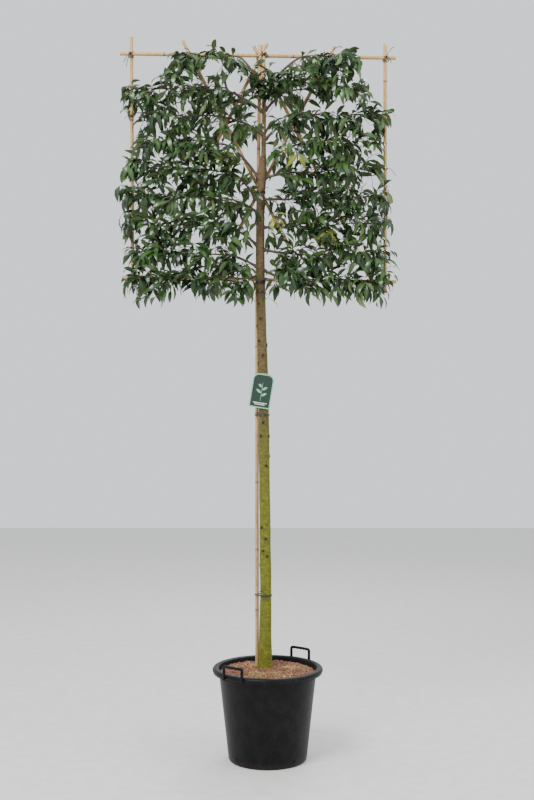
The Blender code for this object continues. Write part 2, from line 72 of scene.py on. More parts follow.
TOP_TIER = 0.148
TIER = 0.119
STEM_BELOW = 0.034
CROWN_FRONT = -0.135
CROWN_BACK = 0.160
CROWN_SPLIT = -0.017
BOUGH_ROOT_R = 0.0062
BOUGH_TIP_R = 0.0038
LABEL_WIDE = 0.092
LABEL_HIGH = 0.148
LABEL_LEAN = math.radians(9.3)
LABEL_PLACE = Vector((-0.0260, -0.0268, 1.597))

# Trunk, from the soil up: height, offset in X, offset in Y, radius
TRUNK_STATIONS = (
    (SOIL_TOP, -0.0118, 0.0340, 0.0350),
    (0.412, -0.0117, 0.0335, 0.0315),
    (0.500, -0.0108, 0.0315, 0.0278),
    (0.705, -0.0083, 0.0265, 0.0248),
    (1.200, -0.0136, 0.0100, 0.0235),
    (1.406, -0.0162, 0.0040, 0.0229),
    (1.558, -0.0160, -0.0010, 0.0214),
    (1.776, -0.0235, -0.0080, 0.0213),
    (1.993, -0.0291, -0.0140, 0.0194),
    (2.210, -0.0317, -0.0140, 0.0176),
    (2.427, -0.0315, -0.0140, 0.0178),
    (2.492, -0.0268, -0.0140, 0.0190),
    (2.548, -0.0239, -0.0140, 0.0213),
    (2.590, -0.0205, -0.0130, 0.0150),
    (2.630, -0.0172, -0.0080, 0.0098),
    (2.690, -0.0161, -0.0030, 0.0088),
    (2.818, -0.0148, -0.0030, 0.0078),
    (2.913, -0.0143, -0.0030, 0.0062),
)

# Canes, as name: the two ends of each in X and Z, and its layer behind the front pair
CANES = {
    "left_upright": ((-0.5977, 3.1523), (-0.5933, 2.0587), 2),
    "right_upright": ((0.5165, 3.1259), (0.5156, 2.0279), 2),
    "top_rail": ((-0.6466, 3.0739), (0.5616, 3.0542), 1),
    "bottom_rail": ((-0.6378, 2.0929), (0.5616, 2.0754), 1),
    "centre_cane": ((-0.0159, 3.1040), (-0.0270, 2.0380), 0),
    "brace_left_down": ((-0.3720, 3.1347), (0.1902, 2.0433), 2),
    "brace_right_down": ((-0.0602, 3.1106), (0.4800, 2.0411), 2),
    "brace_left_up": ((0.2952, 3.1156), (-0.2631, 2.0471), 3),
    "brace_right_up": ((-0.0018, 3.1289), (-0.5451, 2.0647), 3),
}
POST_ROUTE = (
    (SOIL_TOP - 0.24, -0.0467, 0.0660),
    (SOIL_TOP, -0.0467, 0.0608),
    (1.200, -0.0470, 0.0360),
    (2.000, -0.0466, RACK_FRONT_Y),
    (2.560, -0.0405, RACK_FRONT_Y),
    (3.107, -0.0328, RACK_FRONT_Y),
)

# Heights of the node rings of the canes that show them; the others have them at nearly even steps
CANE_NODES = {
    "left_upright": (2.788, 2.667, 2.350),
    "right_upright": (2.958, 2.684, 2.392),
    "post_cane": (0.635, 0.900, 1.197, 1.500, 1.790, 2.080, 2.360, 2.650, 2.930),
}
NODE_SPACING = 0.285
BORE_DEPTH = 0.010
CANE_ROWS = 40
CANE_SIDES = 16

# Where a cane's extra rows stand about each node ring
RING_ROWS = (-0.006, -0.003, -0.0012, 0.0, 0.0014, 0.004, 0.010)

# Boughs from the top tier down: root height on the trunk, reach of the bough's tip, reach of its foliage
BOUGHS = {
    "left": (
        (2.893, -0.138, -0.434),
        (2.810, -0.215, -0.647),
        (2.712, -0.186, -0.590),
        (2.523, -0.199, -0.590),
        (2.425, -0.173, -0.638),
        (2.372, -0.173, -0.647),
        (2.228, -0.186, -0.647),
        (2.135, -0.199, -0.638),
        (2.098, -0.142, -0.642),
    ),
    "right": (
        (2.896, 0.170, 0.420),
        (2.815, 0.106, 0.450),
        (2.689, 0.130, 0.562),
        (2.589, 0.150, 0.505),
        (2.523, 0.140, 0.512),
        (2.428, 0.106, 0.545),
        (2.306, 0.119, 0.530),
        (2.209, 0.150, 0.571),
        (2.120, 0.140, 0.571),
    ),
}

# Ties round the trunk and the canes beside it: height, band height, and how each tail runs, as X and Z
TRUNK_TIES = (
    (0.705, 0.005, ((-0.034, 0.022), (-0.020, -0.016))),
    (1.493, 0.005, ((-0.036, 0.026), (-0.016, -0.020))),
    (2.025, 0.004, ((0.020, -0.016),)),
    (2.066, 0.008, ((-0.030, -0.012), (0.022, 0.018))),
    (2.458, 0.006, ((0.026, 0.014),)),
)

# Ties where two canes cross, with how their tails run
CROSS_TIES = (
    ("top_rail", "left_upright", ((-0.030, -0.045), (-0.018, -0.062))),
    ("top_rail", "right_upright", ((0.034, 0.040), (0.022, -0.030))),
    ("top_rail", "brace_left_down", ((-0.026, 0.020),)),
    ("top_rail", "brace_left_up", ((0.060, 0.034), (0.020, -0.022))),
    ("top_rail", "brace_right_down", ((0.020, 0.016),)),
    ("top_rail", "centre_cane", ((-0.026, -0.022), (0.022, -0.020))),
    ("bottom_rail", "left_upright", ((-0.016, -0.050), (0.012, -0.036))),
    ("bottom_rail", "right_upright", ((0.018, -0.046), (-0.014, -0.030))),
    ("bottom_rail", "brace_right_up", ((-0.010, -0.048),)),
    ("bottom_rail", "brace_left_up", ((0.014, -0.042),)),
    ("bottom_rail", "brace_left_down", ((0.008, -0.040),)),
    ("bottom_rail", "brace_right_down", ((-0.012, -0.036),)),
)

# Ties that hold a shoot to an upright: cane, height, tail
SHOOT_TIES = (
    ("left_upright", 2.901, (-0.034, 0.010)),
    ("left_upright", 2.801, (-0.030, -0.016)),
    ("right_upright", 2.823, (0.030, -0.014)),
    ("right_upright", 2.571, (0.044, -0.036)),
    ("right_upright", 2.404, (0.024, 0.016)),
    ("right_upright", 2.208, (0.026, -0.022)),
)

# The view that the pixel places below are read from: the lens's place, and its length in pixels
EYE = Vector((-0.003, -5.0, 1.558))
LENS_PX = 1150.0
MIDDLE_PX = (267.7, 400.0)
PHOTO_HIGH_PX = 800

# Windows through the crown that stay open, in pixels: left, top, right, bottom
OPEN_WINDOWS = (
    (227, 77, 238, 91), (203, 66, 228, 76), (300, 96, 306, 104), (273, 113, 286, 119),
    (298, 164, 304, 172), (237, 164, 243, 172), (360, 123, 377, 134), (364, 153, 380, 162),
    (363, 176, 380, 192), (138, 123, 147, 131), (137, 153, 144, 167), (144, 221, 152, 229),
    (140, 243, 146, 253), (193, 232, 201, 253), (274, 178, 290, 183), (285, 200, 299, 211),
    (318, 204, 323, 219), (246, 245, 254, 255), (204, 95, 240, 99), (119, 40, 160, 76),
    (372, 40, 402, 76), (182, 40, 201, 57), (326, 44, 339, 57), (303, 91, 314, 111),
    (240, 78, 251, 91), (226, 108, 234, 121),
)

# Old pruning wounds on the front of the trunk, in pixels, with their radii in metres
SCARS = (
    (259.8, 304, 0.0050), (261.3, 319, 0.0060), (256.2, 326, 0.0055),
    (259.8, 341, 0.0060), (267.4, 345, 0.0055), (263.4, 355.5, 0.0060),
    (257.8, 363, 0.0055), (263.9, 423, 0.0060), (261.8, 436, 0.0065),
    (269.9, 436, 0.0055), (266.6, 466, 0.0060), (262.8, 528, 0.0065),
    (266.6, 539.5, 0.0060), (263.9, 551.5, 0.0065), (267.7, 557, 0.0055),
)

WOUND_SWELL = 1.35
BACK_WOUNDS = 14
TRUNK_SIDES = 44
TRUNK_ROWS = 430
POT_SIDES = 96
TIE_SIDES = 28

# Radius round the trunk's foot that stays free of chips
CHIP_FREE_R = 0.038

LEAF_LONG = 0.078
LEAF_WIDE = 0.0225
LEAF_TIP = Vector((0.955, 0.0, -0.275))
TIER_OVERLAP = 0.050
TWIG_PITCH = 0.0165
TWIG_R = 0.0019
TWIG_TIP_R = 0.0009
BOUGH_TWIG_PITCH = 0.017

# Share of a twig at its foot that has no leaves, and the turn from each leaf to the next
BARE_FOOT = 0.12
SPIRAL_TURN = 2.4


def pixel_of(point):
    """Where a point shows in the view, in pixels from the left and from the top."""
    away = point.y - EYE.y
    across_px = MIDDLE_PX[0] + LENS_PX * (point.x - EYE.x) / away
    down_px = MIDDLE_PX[1] - LENS_PX * (point.z - EYE.z) / away
    return across_px, down_px


def place_of(across_px, down_px, depth):
    """The point at a depth Y that shows at a pixel."""
    away = depth - EYE.y
    x = EYE.x + (across_px - MIDDLE_PX[0]) * away / LENS_PX
    return Vector((x, depth, EYE.z - (down_px - MIDDLE_PX[1]) * away / LENS_PX))


def in_window(point):
    across_px, down_px = pixel_of(point)
    return any(left < across_px < right and top < down_px < foot for left, top, right, foot in OPEN_WINDOWS)


# Shapes, each a list of points and a list of faces

def smooth_route(points, steps):
    """A smooth curve through the points, with that many stretches between each two."""
    ends = [points[0] * 2 - points[1]] + list(points) + [points[-1] * 2 - points[-2]]
    route = []
    for a, b, c, d in zip(ends, ends[1:], ends[2:], ends[3:]):
        for step in range(steps):
            t = step / steps
            bend = (a * -1 + b * 3 - c * 3 + d) * t ** 3 + (a * 2 - b * 5 + c * 4 - d) * t ** 2
            route.append((bend + (c - a) * t + b * 2) * 0.5)
    route.append(points[-1].copy())
    return route


def blend_along(values, share):
    """A value at a share of the way along a list of values."""
    run = share * (len(values) - 1)
    index = min(int(run), len(values) - 2)
    return values[index] + (values[index + 1] - values[index]) * (run - index)


def joined_rings(rings, caps=True):
    """A tube through rings of equal length, closed with a flat cap at each end."""
    count = len(rings[0])
    points = [p for ring in rings for p in ring]
    faces = []
    for row in range(len(rings) - 1):
        for step in range(count):
            after = (step + 1) % count
            low = row * count
            faces.append((low + step, low + after, low + count + after, low + count + step))
    if caps:
        faces.append(tuple(reversed(range(count))))
        faces.append(tuple((len(rings) - 1) * count + step for step in range(count)))
    return points, faces


def ring_of(spot, frame_here, radius, sides):
    """A ring of points round a spot, square to the way that its frame runs."""
    first, second = frame_here[1:]
    angles = [2 * math.pi * step / sides for step in range(sides)]
    return [spot + (first * math.cos(angle) + second * math.sin(angle)) * radius for angle in angles]


def frames_along(route):
    """At each point of a route, its direction and two directions square to it that don't twist."""
    found = []
    side = None
    for index in range(len(route)):
        way = (route[min(index + 1, len(route) - 1)] - route[max(index - 1, 0)]).normalized()
        if side is None:
            side = Vector((0, 1, 0)) if abs(way.y) < 0.8 else Vector((0, 0, 1))
        side = (side - way * side.dot(way)).normalized()
        found.append((way, side, way.cross(side)))
    return found


def tube(route, radii, sides):
    """A round tube along a route."""
    rings = []
    for spot, radius, (_, first, second) in zip(route, radii, frames_along(route)):
        ring = []
        for step in range(sides):
            angle = 2 * math.pi * step / sides
            ring.append(spot + first * math.cos(angle) * radius + second * math.sin(angle) * radius)
        rings.append(ring)
    return joined_rings(rings)


def loop_tube(route, radius, sides=8):
    """A round tube along a closed route."""
    count = len(route)
    rings = []
    normal = (route[count // 3] - route[0]).cross(route[2 * count // 3] - route[0]).normalized()
    for index, spot in enumerate(route):
        way = (route[(index + 1) % count] - route[index - 1]).normalized()
        out = way.cross(normal).normalized()
        ring = []
        for step in range(sides):
            angle = 2 * math.pi * step / sides
            ring.append(spot + out * math.cos(angle) * radius + normal * math.sin(angle) * radius)
        rings.append(ring)
    points, faces = joined_rings(rings, caps=False)
    last = (count - 1) * sides
    for step in range(sides):
        after = (step + 1) % sides
        faces.append((last + step, last + after, after, step))
    return points, faces


def turned(profile, sides):
    """A shape turned about Z from (radius, height) points that start and end on the axis."""
    points = []
    rows = []
    for radius, height in profile:
        row = []
        for step in range(sides if radius else 1):
            angle = 2 * math.pi * step / sides
            row.append(len(points))
            points.append(Vector((radius * math.cos(angle), radius * math.sin(angle), height)))
        rows.append(row)
    faces = []
    for low, high in zip(rows, rows[1:]):
        for step in range(sides):
            after = (step + 1) % sides
            if len(low) == 1:
                faces.append((low[0], high[step], high[after]))
            elif len(high) == 1:
                faces.append((low[step], low[after], high[0]))
            else:
                faces.append((low[step], low[after], high[after], high[step]))
    return points, faces


def gathered(shapes):
    """Several shapes as one."""
    points = []
    faces = []
    for shape_points, shape_faces in shapes:
        start = len(points)
        points += shape_points
        faces += [tuple(start + corner for corner in face) for face in shape_faces]
    return points, faces


def knot_shape(centre, size, rng):
    """A pulled knot: a lumpy ball of crossing turns."""
    shapes = []
    for turn in range(3):
        tilt = Euler((rng.uniform(0, 3.1), rng.uniform(0, 3.1), turn * 1.1)).to_matrix()
        ring = []
        for step in range(14):
            angle = 2 * math.pi * step / 14
            ring.append(centre + tilt @ Vector((math.cos(angle) * size, math.sin(angle) * size * 0.8, 0)))
        shapes.append(loop_tube(ring, size * 0.55, 6))
    return shapes


def tail_shape(start, run, rng, radius):
    """A free end of a tie: it springs out, bends over and ends cut."""
    out = Vector((run[0], -0.006, run[1]))
    bow = Vector((rng.uniform(-0.004, 0.004), -0.008, abs(run[0]) * 0.25))
    route = smooth_route([start, start + out * 0.35 + bow, start + out * 0.75 + bow * 0.8, start + out], 5)
    return tube(route, [radius] * (len(route) - 1) + [radius * 0.8], 6)


def bare_object(name, shape):
    points, faces = shape
    mesh = bpy.data.meshes.new(name)
    mesh.from_pydata([tuple(p) for p in points], [], faces)
    mesh.validate()
    work = bmesh.new()
    work.from_mesh(mesh)
    bmesh.ops.recalc_face_normals(work, faces=work.faces)
    work.to_mesh(mesh)
    work.free()
    thing = bpy.data.objects.new(name, mesh)
    bpy.context.scene.collection.objects.link(thing)
    return thing


def settle(thing):
    """Applies the object's modifiers to its mesh."""
    graph = bpy.context.evaluated_depsgraph_get()
    mesh = bpy.data.meshes.new_from_object(thing.evaluated_get(graph))
    thing.modifiers.clear()
    thing.data = mesh
    return thing


def hand_over(thing, nodes):
    """The piece rides on the plant's one body and stands for its solids."""
    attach(thing, "root")
    if nodes:
        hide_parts(*nodes)
    return thing


def piece(name, shape, finish, slot_name, *nodes, crease=40):
    thing = bare_object(name, shape)
    thing.data.materials.append(finish)
    thing.data.shade_smooth()
    thing.data.set_sharp_from_angle(angle=math.radians(crease))
    return hand_over(thing, nodes)


# Finishes

def effect(name, inputs, outputs):
    """An empty node group with named number inputs and outputs."""
    group = bpy.data.node_groups.new(name, "ShaderNodeTree")
    for label, start in inputs:
        made = group.interface.new_socket(name=label, in_out="INPUT", socket_type="NodeSocketFloat")
        made.default_value = start
    for label in outputs:
        group.interface.new_socket(name=label, in_out="OUTPUT", socket_type="NodeSocketFloat")
    return group, group.nodes.new("NodeGroupInput"), group.nodes.new("NodeGroupOutput")


def stretched_noise(tree, stretch, detail=4.0):
    """Noise on object coordinates, stretched by a vector of scales."""
    spot = tree.nodes.new("ShaderNodeTexCoord")
    scale = tree.nodes.new("ShaderNodeMapping")
    scale.inputs["Scale"].default_value = stretch
    tree.links.new(spot.outputs["Object"], scale.inputs["Vector"])
    made = tree.nodes.new("ShaderNodeTexNoise")
    made.inputs["Detail"].default_value = detail
    tree.links.new(scale.outputs["Vector"], made.inputs["Vector"])
    return made


def make_grain():
    """Streaks: noise at a scale, drawn out along the height by a stretch."""
    group, given, result = effect("streak_grain", (("Scale", 60.0), ("Stretch", 0.1)), ("Mask", "Height"))
    spot = group.nodes.new("ShaderNodeTexCoord")
    split = group.nodes.new("ShaderNodeSeparateXYZ")
    pull = group.nodes.new("ShaderNodeMath")
    pull.operation = "MULTIPLY"
    join = group.nodes.new("ShaderNodeCombineXYZ")
    made = group.nodes.new("ShaderNodeTexNoise")
    made.inputs["Detail"].default_value = 6.0
    spread = group.nodes.new("ShaderNodeMapRange")
    spread.inputs["From Min"].default_value = 0.35
    spread.inputs["From Max"].default_value = 0.65
    group.links.new(spot.outputs["Object"], split.inputs[0])
    group.links.new(split.outputs["X"], join.inputs["X"])
    group.links.new(split.outputs["Y"], join.inputs["Y"])
    group.links.new(split.outputs["Z"], pull.inputs[0])
    group.links.new(given.outputs["Stretch"], pull.inputs[1])
    group.links.new(pull.outputs[0], join.inputs["Z"])
    group.links.new(join.outputs[0], made.inputs["Vector"])
    group.links.new(given.outputs["Scale"], made.inputs["Scale"])
    group.links.new(made.outputs["Fac"], spread.inputs["Value"])
    group.links.new(spread.outputs["Result"], result.inputs["Mask"])
    group.links.new(made.outputs["Fac"], result.inputs["Height"])
    return group


GRAIN = make_grain()


class Finish:
    """A material whose colour is mixed step by step over its base."""

    def __init__(self, name, colour, roughness, coat=0.0, gloss=0.5):
        self.material = bpy.data.materials.new(name)
        self.material.use_nodes = True
        self.tree = self.material.node_tree
        self.shader = self.tree.nodes["Principled BSDF"]
        self.shader.inputs["Roughness"].default_value = roughness
        self.shader.inputs["Coat Weight"].default_value = coat
        self.shader.inputs["Specular IOR Level"].default_value = gloss
        base = self.tree.nodes.new("ShaderNodeRGB")
        base.outputs[0].default_value = (*colour, 1.0)
        self.colour = base.outputs[0]
        self.height = None

    def grain(self, scale, stretch):
        made = self.tree.nodes.new("ShaderNodeGroup")
        made.node_tree = GRAIN
        made.inputs["Scale"].default_value = scale
        made.inputs["Stretch"].default_value = stretch
        return made

    def ranged(self, socket, low, high):
        made = self.tree.nodes.new("ShaderNodeMapRange")
        made.inputs["From Min"].default_value = low
        made.inputs["From Max"].default_value = high
        self.tree.links.new(socket, made.inputs["Value"])
        return made.outputs["Result"]

    def times(self, first, second):
        made = self.tree.nodes.new("ShaderNodeMath")
        made.operation = "MULTIPLY"
        self.tree.links.new(first, made.inputs[0])
        if isinstance(second, float):
            made.inputs[1].default_value = second
        else:
            self.tree.links.new(second, made.inputs[1])
        return made.outputs[0]

    def tint(self, colour, mask):
        """Lays a colour over the finish where the mask is."""
        made = self.tree.nodes.new("ShaderNodeMix")
        made.data_type = "RGBA"
        self.tree.links.new(mask, made.inputs["Factor"])
        self.tree.links.new(self.colour, made.inputs["A"])
        made.inputs["B"].default_value = (*colour, 1.0)
        self.colour = made.outputs["Result"]

    def axis(self, name):
        spot = self.tree.nodes.new("ShaderNodeTexCoord")
        split = self.tree.nodes.new("ShaderNodeSeparateXYZ")
        self.tree.links.new(spot.outputs["Object"], split.inputs[0])
        return split.outputs[name]

    def mark(self, name):
        made = self.tree.nodes.new("ShaderNodeAttribute")
        made.attribute_name = name
        return made.outputs["Fac"]

    def done(self, height=None, strength=0.3, distance=0.001):
        self.tree.links.new(self.colour, self.shader.inputs["Base Color"])
        if height is not None:
            bump = self.tree.nodes.new("ShaderNodeBump")
            bump.inputs["Strength"].default_value = strength
            bump.inputs["Distance"].default_value = distance
            self.tree.links.new(height, bump.inputs["Height"])
            self.tree.links.new(bump.outputs["Normal"], self.shader.inputs["Normal"])
        return self.material


def noise_mask(finish, stretch, low, high, detail=4.0):
    return finish.ranged(stretched_noise(finish.tree, stretch, detail).outputs["Fac"], low, high)


def pot_finish():
    """Black moulded plastic, dusty in patches and streaks, more so on the right."""
    made = Finish("black_pot_plastic", (0.0020, 0.0020, 0.0024), 0.44, gloss=0.16)
    dust = noise_mask(made, (40, 40, 22), 0.61, 0.80, 9)
    right = made.ranged(made.axis("X"), -0.15, 0.20)
    made.tint((0.110, 0.102, 0.090), made.times(made.times(dust, right), 0.42))
    film = noise_mask(made, (5, 5, 4), 0.40, 0.70, 6)
    made.tint((0.011, 0.011, 0.011), made.times(film, 0.5))
    scuffs = made.grain(150, 0.06)
    made.tint((0.075, 0.075, 0.078), made.times(scuffs.outputs["Mask"], made.times(dust, 0.30)))
    low = made.times(made.ranged(made.axis("Z"), 0.035, 0.0), noise_mask(made, (30, 30, 30), 0.35, 0.65))
    made.tint((0.10, 0.075, 0.055), made.times(low, 0.30))
    return made.done(stretched_noise(made.tree, (900, 900, 900)).outputs["Fac"], 0.18, 0.0006)


def chip_finish(name, colour, edge):
    made = Finish(name, colour, 0.88)
    made.tint(edge, noise_mask(made, (160, 160, 160), 0.42, 0.66))
    # Painted shade: near-black lower down, where the root ball runs down inside the pot wall
    made.tint((0.010, 0.006, 0.004), made.ranged(made.axis("Z"), 0.36, 0.30))
    return made.done(made.grain(420, 0.5).outputs["Height"], 0.5, 0.0012)


def trunk_finish():
    """Brown bark above, bright algae below, level rows of pores and dark round wounds."""
    made = Finish("laurel_bark", (0.150, 0.098, 0.048), 0.74, gloss=0.2)
    made.tint((0.060, 0.042, 0.024), noise_mask(made, (13, 13, 30), 0.42, 0.68, 5))
    made.tint((0.250, 0.180, 0.095), made.times(noise_mask(made, (12, 12, 95), 0.50, 0.70, 3), 0.7))
    lower = made.ranged(made.axis("Z"), 2.45, 1.55)
    olive = made.times(lower, noise_mask(made, (22, 22, 16), 0.36, 0.60, 6))
    made.tint((0.085, 0.078, 0.014), made.times(olive, 0.80))
    lowest = made.ranged(made.axis("Z"), 1.62, 0.98)
    green = made.times(lowest, noise_mask(made, (16, 16, 11), 0.26, 0.50, 5))
    made.tint((0.135, 0.150, 0.012), made.times(green, 0.95))
    made.tint((0.215, 0.225, 0.020), made.times(green, noise_mask(made, (12, 12, 22), 0.42, 0.68, 4)))
    dark_bands = noise_mask(made, (9, 9, 85), 0.54, 0.70, 4)
    made.tint((0.050, 0.058, 0.008), made.times(made.times(green, dark_bands), 0.85))
    made.tint((0.028, 0.020, 0.010), made.times(noise_mask(made, (14, 14, 120), 0.58, 0.68, 3), 0.7))
    made.tint((0.016, 0.010, 0.006), made.mark("wound"))
    return made.done(stretched_noise(made.tree, (70, 70, 460), 6).outputs["Fac"], 0.8, 0.0022)


def twig_finish(name, colour, pale):
    made = Finish(name, colour, 0.62)
    made.tint(pale, noise_mask(made, (110, 110, 110), 0.45, 0.70))
    return made.done(made.grain(300, 0.3).outputs["Height"], 0.35, 0.0006)


def cane_finish(name, colour):
    """Dry bamboo: fine fibres along the cane, darker at the node rings, with painted shade on the cut ends
    that deepens down into each hollow bore.
    """
    made = Finish(name, colour, 0.40, coat=0.15)
    made.tint((0.300, 0.165, 0.055), made.times(noise_mask(made, (14, 14, 7), 0.42, 0.70), 0.75))
    made.tint((0.610, 0.430, 0.200), made.times(noise_mask(made, (320, 320, 12), 0.52, 0.72), 0.6))
    made.tint((0.120, 0.070, 0.030), made.times(noise_mask(made, (40, 40, 30), 0.62, 0.72, 7), 0.6))
    # The ring mark darkens the node rings, and as painted shade the cut ends and the hollow bores
    made.tint((0.110, 0.065, 0.030), made.mark("ring"))
    return made.done(stretched_noise(made.tree, (520, 520, 14)).outputs["Fac"], 0.25, 0.0005)


def tie_finish():
    made = Finish("black_tie_rubber", (0.010, 0.010, 0.011), 0.42)
    made.tint((0.045, 0.043, 0.040), noise_mask(made, (260, 260, 260), 0.50, 0.75))
    return made.done(stretched_noise(made.tree, (700, 700, 700)).outputs["Fac"], 0.2, 0.0004)


def card_finish(name, colour, worn):
    made = Finish(name, colour, 0.30, coat=0.4)
    made.tint(worn, made.times(noise_mask(made, (45, 45, 45), 0.50, 0.80), 0.6))
    return made.done(stretched_noise(made.tree, (300, 300, 300)).outputs["Fac"], 0.06, 0.0003)


def leaf_finish(name, colour, light, roughness, coat):
    """A leathery blade: paler along its midrib and mottled, with a fine bumpy surface."""
    made = Finish(name, colour, roughness, coat, gloss=0.32)
    made.tint(light, made.times(noise_mask(made, (26, 26, 26), 0.42, 0.70), 0.8))
    rib = (light[0] * 1.6 + 0.02, light[1] * 1.4 + 0.02, light[2] * 1.3 + 0.005)
    made.tint(rib, made.times(made.mark("rib"), 0.55))
    return made.done(stretched_noise(made.tree, (240, 240, 240)).outputs["Fac"], 0.22, 0.0006)


def floor_finish():
    made = Finish("pale_floor", (0.70, 0.69, 0.67), 0.8)
    made.tint((0.66, 0.65, 0.63), noise_mask(made, (3, 3, 3), 0.4, 0.6))
    return made.done()


POT = pot_finish()
BARK = trunk_finish()
BOUGH_BARK = twig_finish("bough_bark", (0.052, 0.030, 0.022), (0.120, 0.080, 0.055))
TWIG_BARK = twig_finish("twig_bark", (0.060, 0.024, 0.018), (0.095, 0.070, 0.030))
CANE = cane_finish("bamboo", (0.500, 0.310, 0.115))
TIE = tie_finish()
UNDER_LEAF = leaf_finish("leaf_underside", (0.052, 0.092, 0.036), (0.085, 0.130, 0.052), 0.55, 0.0)
LEAVES = {
    "dark": leaf_finish("leaf_dark", (0.0055, 0.0200, 0.0070), (0.012, 0.040, 0.012), 0.26, 0.16),
    "mid": leaf_finish("leaf_mid", (0.016, 0.048, 0.012), (0.034, 0.082, 0.020), 0.28, 0.14),
    # Painted light: yellow-green leaves that stand for leaves lit through from behind, near the trunk
    "young": leaf_finish("leaf_backlit", (0.095, 0.125, 0.012), (0.165, 0.190, 0.022), 0.34, 0.10),
}


# Pot, handles and soil

def wall_radius(height):
    return POT_BASE_R + (POT_WALL_TOP_R - POT_BASE_R) * height / (RIM_TOP - RIM_HEIGHT)


def make_pot():
    """A turned shell: a rounded foot, a tapering wall and a rolled rim that is hollow below."""
    under = RIM_TOP - RIM_HEIGHT
    inside = wall_radius(RIM_TOP) - POT_WALL
    profile = [(0.0, 0.006), (0.120, 0.006), (0.128, 0.0), (0.150, 0.0), (POT_BASE_R - 0.007, 0.0005)]
    profile += [(POT_BASE_R - 0.002, 0.003), (wall_radius(0.008), 0.008)]
    profile += [(wall_radius(0.05 * step), 0.05 * step) for step in range(1, 8)]
    profile.append((wall_radius(under + 0.012), under + 0.012))
    profile.append((wall_radius(under + 0.016) + 0.004, under + 0.016))
    profile += [(RIM_R - 0.007, under + 0.014), (RIM_R - 0.0045, under + 0.009), (RIM_R - 0.0040, under)]
    half = RIM_HEIGHT / 2
    for step in range(9):
        angle = math.radians(-75 + 165 * step / 8)
        reach = RIM_R - half + half * math.cos(angle)
        profile.append((reach, RIM_TOP - half + half * math.sin(angle)))
    profile += [(inside + 0.006, RIM_TOP - 0.0006), (inside + 0.0015, RIM_TOP - 0.004)]
    profile.append((inside, RIM_TOP - 0.010))
    profile += [(wall_radius(0.3) - POT_WALL, 0.3), (wall_radius(0.009) - POT_WALL, 0.009), (0.0, 0.009)]
    pot = bare_object("plant_pot", turned(profile, POT_SIDES))
    drills = []
    for index in range(DRAIN_COUNT):
        angle = DRAIN_TURN + 2 * math.pi * index / DRAIN_COUNT
        outward = Vector((math.cos(angle), math.sin(angle), 0.0))
        level = Vector((0, 0, DRAIN_Z))
        near = outward * (wall_radius(DRAIN_Z) - 0.02) + level
        far = outward * (wall_radius(DRAIN_Z) + 0.02) + level
        drills.append(tube([near, far], [DRAIN_R, DRAIN_R], 20))
    drill = bare_object("drain_drill", gathered(drills))
    cut = pot.modifiers.new("drains", "BOOLEAN")
    cut.operation = "DIFFERENCE"
    cut.solver = "EXACT"
    cut.object = drill
    settle(pot)
    bpy.data.objects.remove(drill, do_unlink=True)
    pot.data.materials.clear()
    pot.data.materials.append(POT)
    pot.data.shade_smooth()
    pot.data.set_sharp_from_angle(angle=math.radians(35))
    hand_over(pot, ["pot"])


def make_handle(name, node, turn):
    """An arched bar with soft corners and a finger grip along its underside."""
    reach = RIM_R + CLEAR + HANDLE_THICK / 2
    half = HANDLE_SPAN / 2 / reach
    bar_z = RIM_TOP + HANDLE_RISE - HANDLE_WIDE / 2
    low = RIM_TOP - RIM_HEIGHT + 0.002
    corner = 0.008 / reach
    plan = [(-half, low), (-half, RIM_TOP), (-half, bar_z - 0.008), (-half + 0.3 * corner, bar_z - 0.0022)]
    plan += [(-half + corner, bar_z), (-half * 0.5, bar_z), (0.0, bar_z)]
    plan += [(-angle, height) for angle, height in reversed(plan[:-1])]
    flat = smooth_route([Vector((angle * reach, 0, height)) for angle, height in plan], 6)
    rings = []
    for spot, (_, _, second) in zip(flat, frames_along(flat)):
        ring = []
        for step in range(16):
            angle = 2 * math.pi * step / 16
            out = abs(math.cos(angle)) ** 0.7 * math.copysign(HANDLE_THICK / 2, math.cos(angle))
            rise = abs(math.sin(angle)) ** 0.7 * math.copysign(HANDLE_WIDE / 2, math.sin(angle))
            place = spot + second * rise
            if place.z < spot.z - 0.001 and abs(spot.x) < HANDLE_SPAN / 2 - 0.014:
                place.z -= 0.0015 * math.cos(spot.x / 0.0085 * math.pi)
            spin = turn + place.x / reach
            ring.append(Vector(((reach + out) * math.cos(spin), (reach + out) * math.sin(spin), place.z)))
        rings.append(ring)
    piece(name, joined_rings(rings), POT, "pot", node)


def soil_height(x, y):
    """Height of the mounded root ball at a place."""
    out = math.hypot(x, y)
    edge = wall_radius(SOIL_EDGE)
    share = min(1.0, max(0.0, (edge - POT_WALL - out) / (edge - SOIL_FLAT_R)))
    lump = noise.noise(Vector((x * 26, y * 26, 1.7))) * 0.0035
    return SOIL_EDGE + (SOIL_TOP - SOIL_EDGE) * share + lump


def make_soil():
    edge = wall_radius(SOIL_EDGE) - POT_WALL - 0.0008
    rows = 26
    sides = 90
    points = [Vector((0, 0, 0.012))]
    faces = []
    rings = [(wall_radius(0.012) - POT_WALL - 0.001, 0.012), (edge, SOIL_EDGE - 0.002)]
    rings += [(edge * (1 - step / rows), None) for step in range(rows)]
    for radius, height in rings:
        for step in range(sides):
            angle = 2 * math.pi * step / sides
            x, y = radius * math.cos(angle), radius * math.sin(angle)
            points.append(Vector((x, y, soil_height(x, y) if height is None else height)))
    points.append(Vector((0, 0, soil_height(0, 0))))
    for step in range(sides):
        after = (step + 1) % sides
        faces.append((0, 1 + after, 1 + step))
        for row in range(len(rings) - 1):
            low = 1 + row * sides
            faces.append((low + step, low + after, low + sides + after, low + sides + step))
        last = 1 + (len(rings) - 1) * sides
        faces.append((last + step, last + after, len(points) - 1))
    finish = chip_finish("root_ball", (0.130, 0.066, 0.040), (0.250, 0.130, 0.078))
    piece("root_ball", (points, faces), finish, "soil", "soil", crease=70)


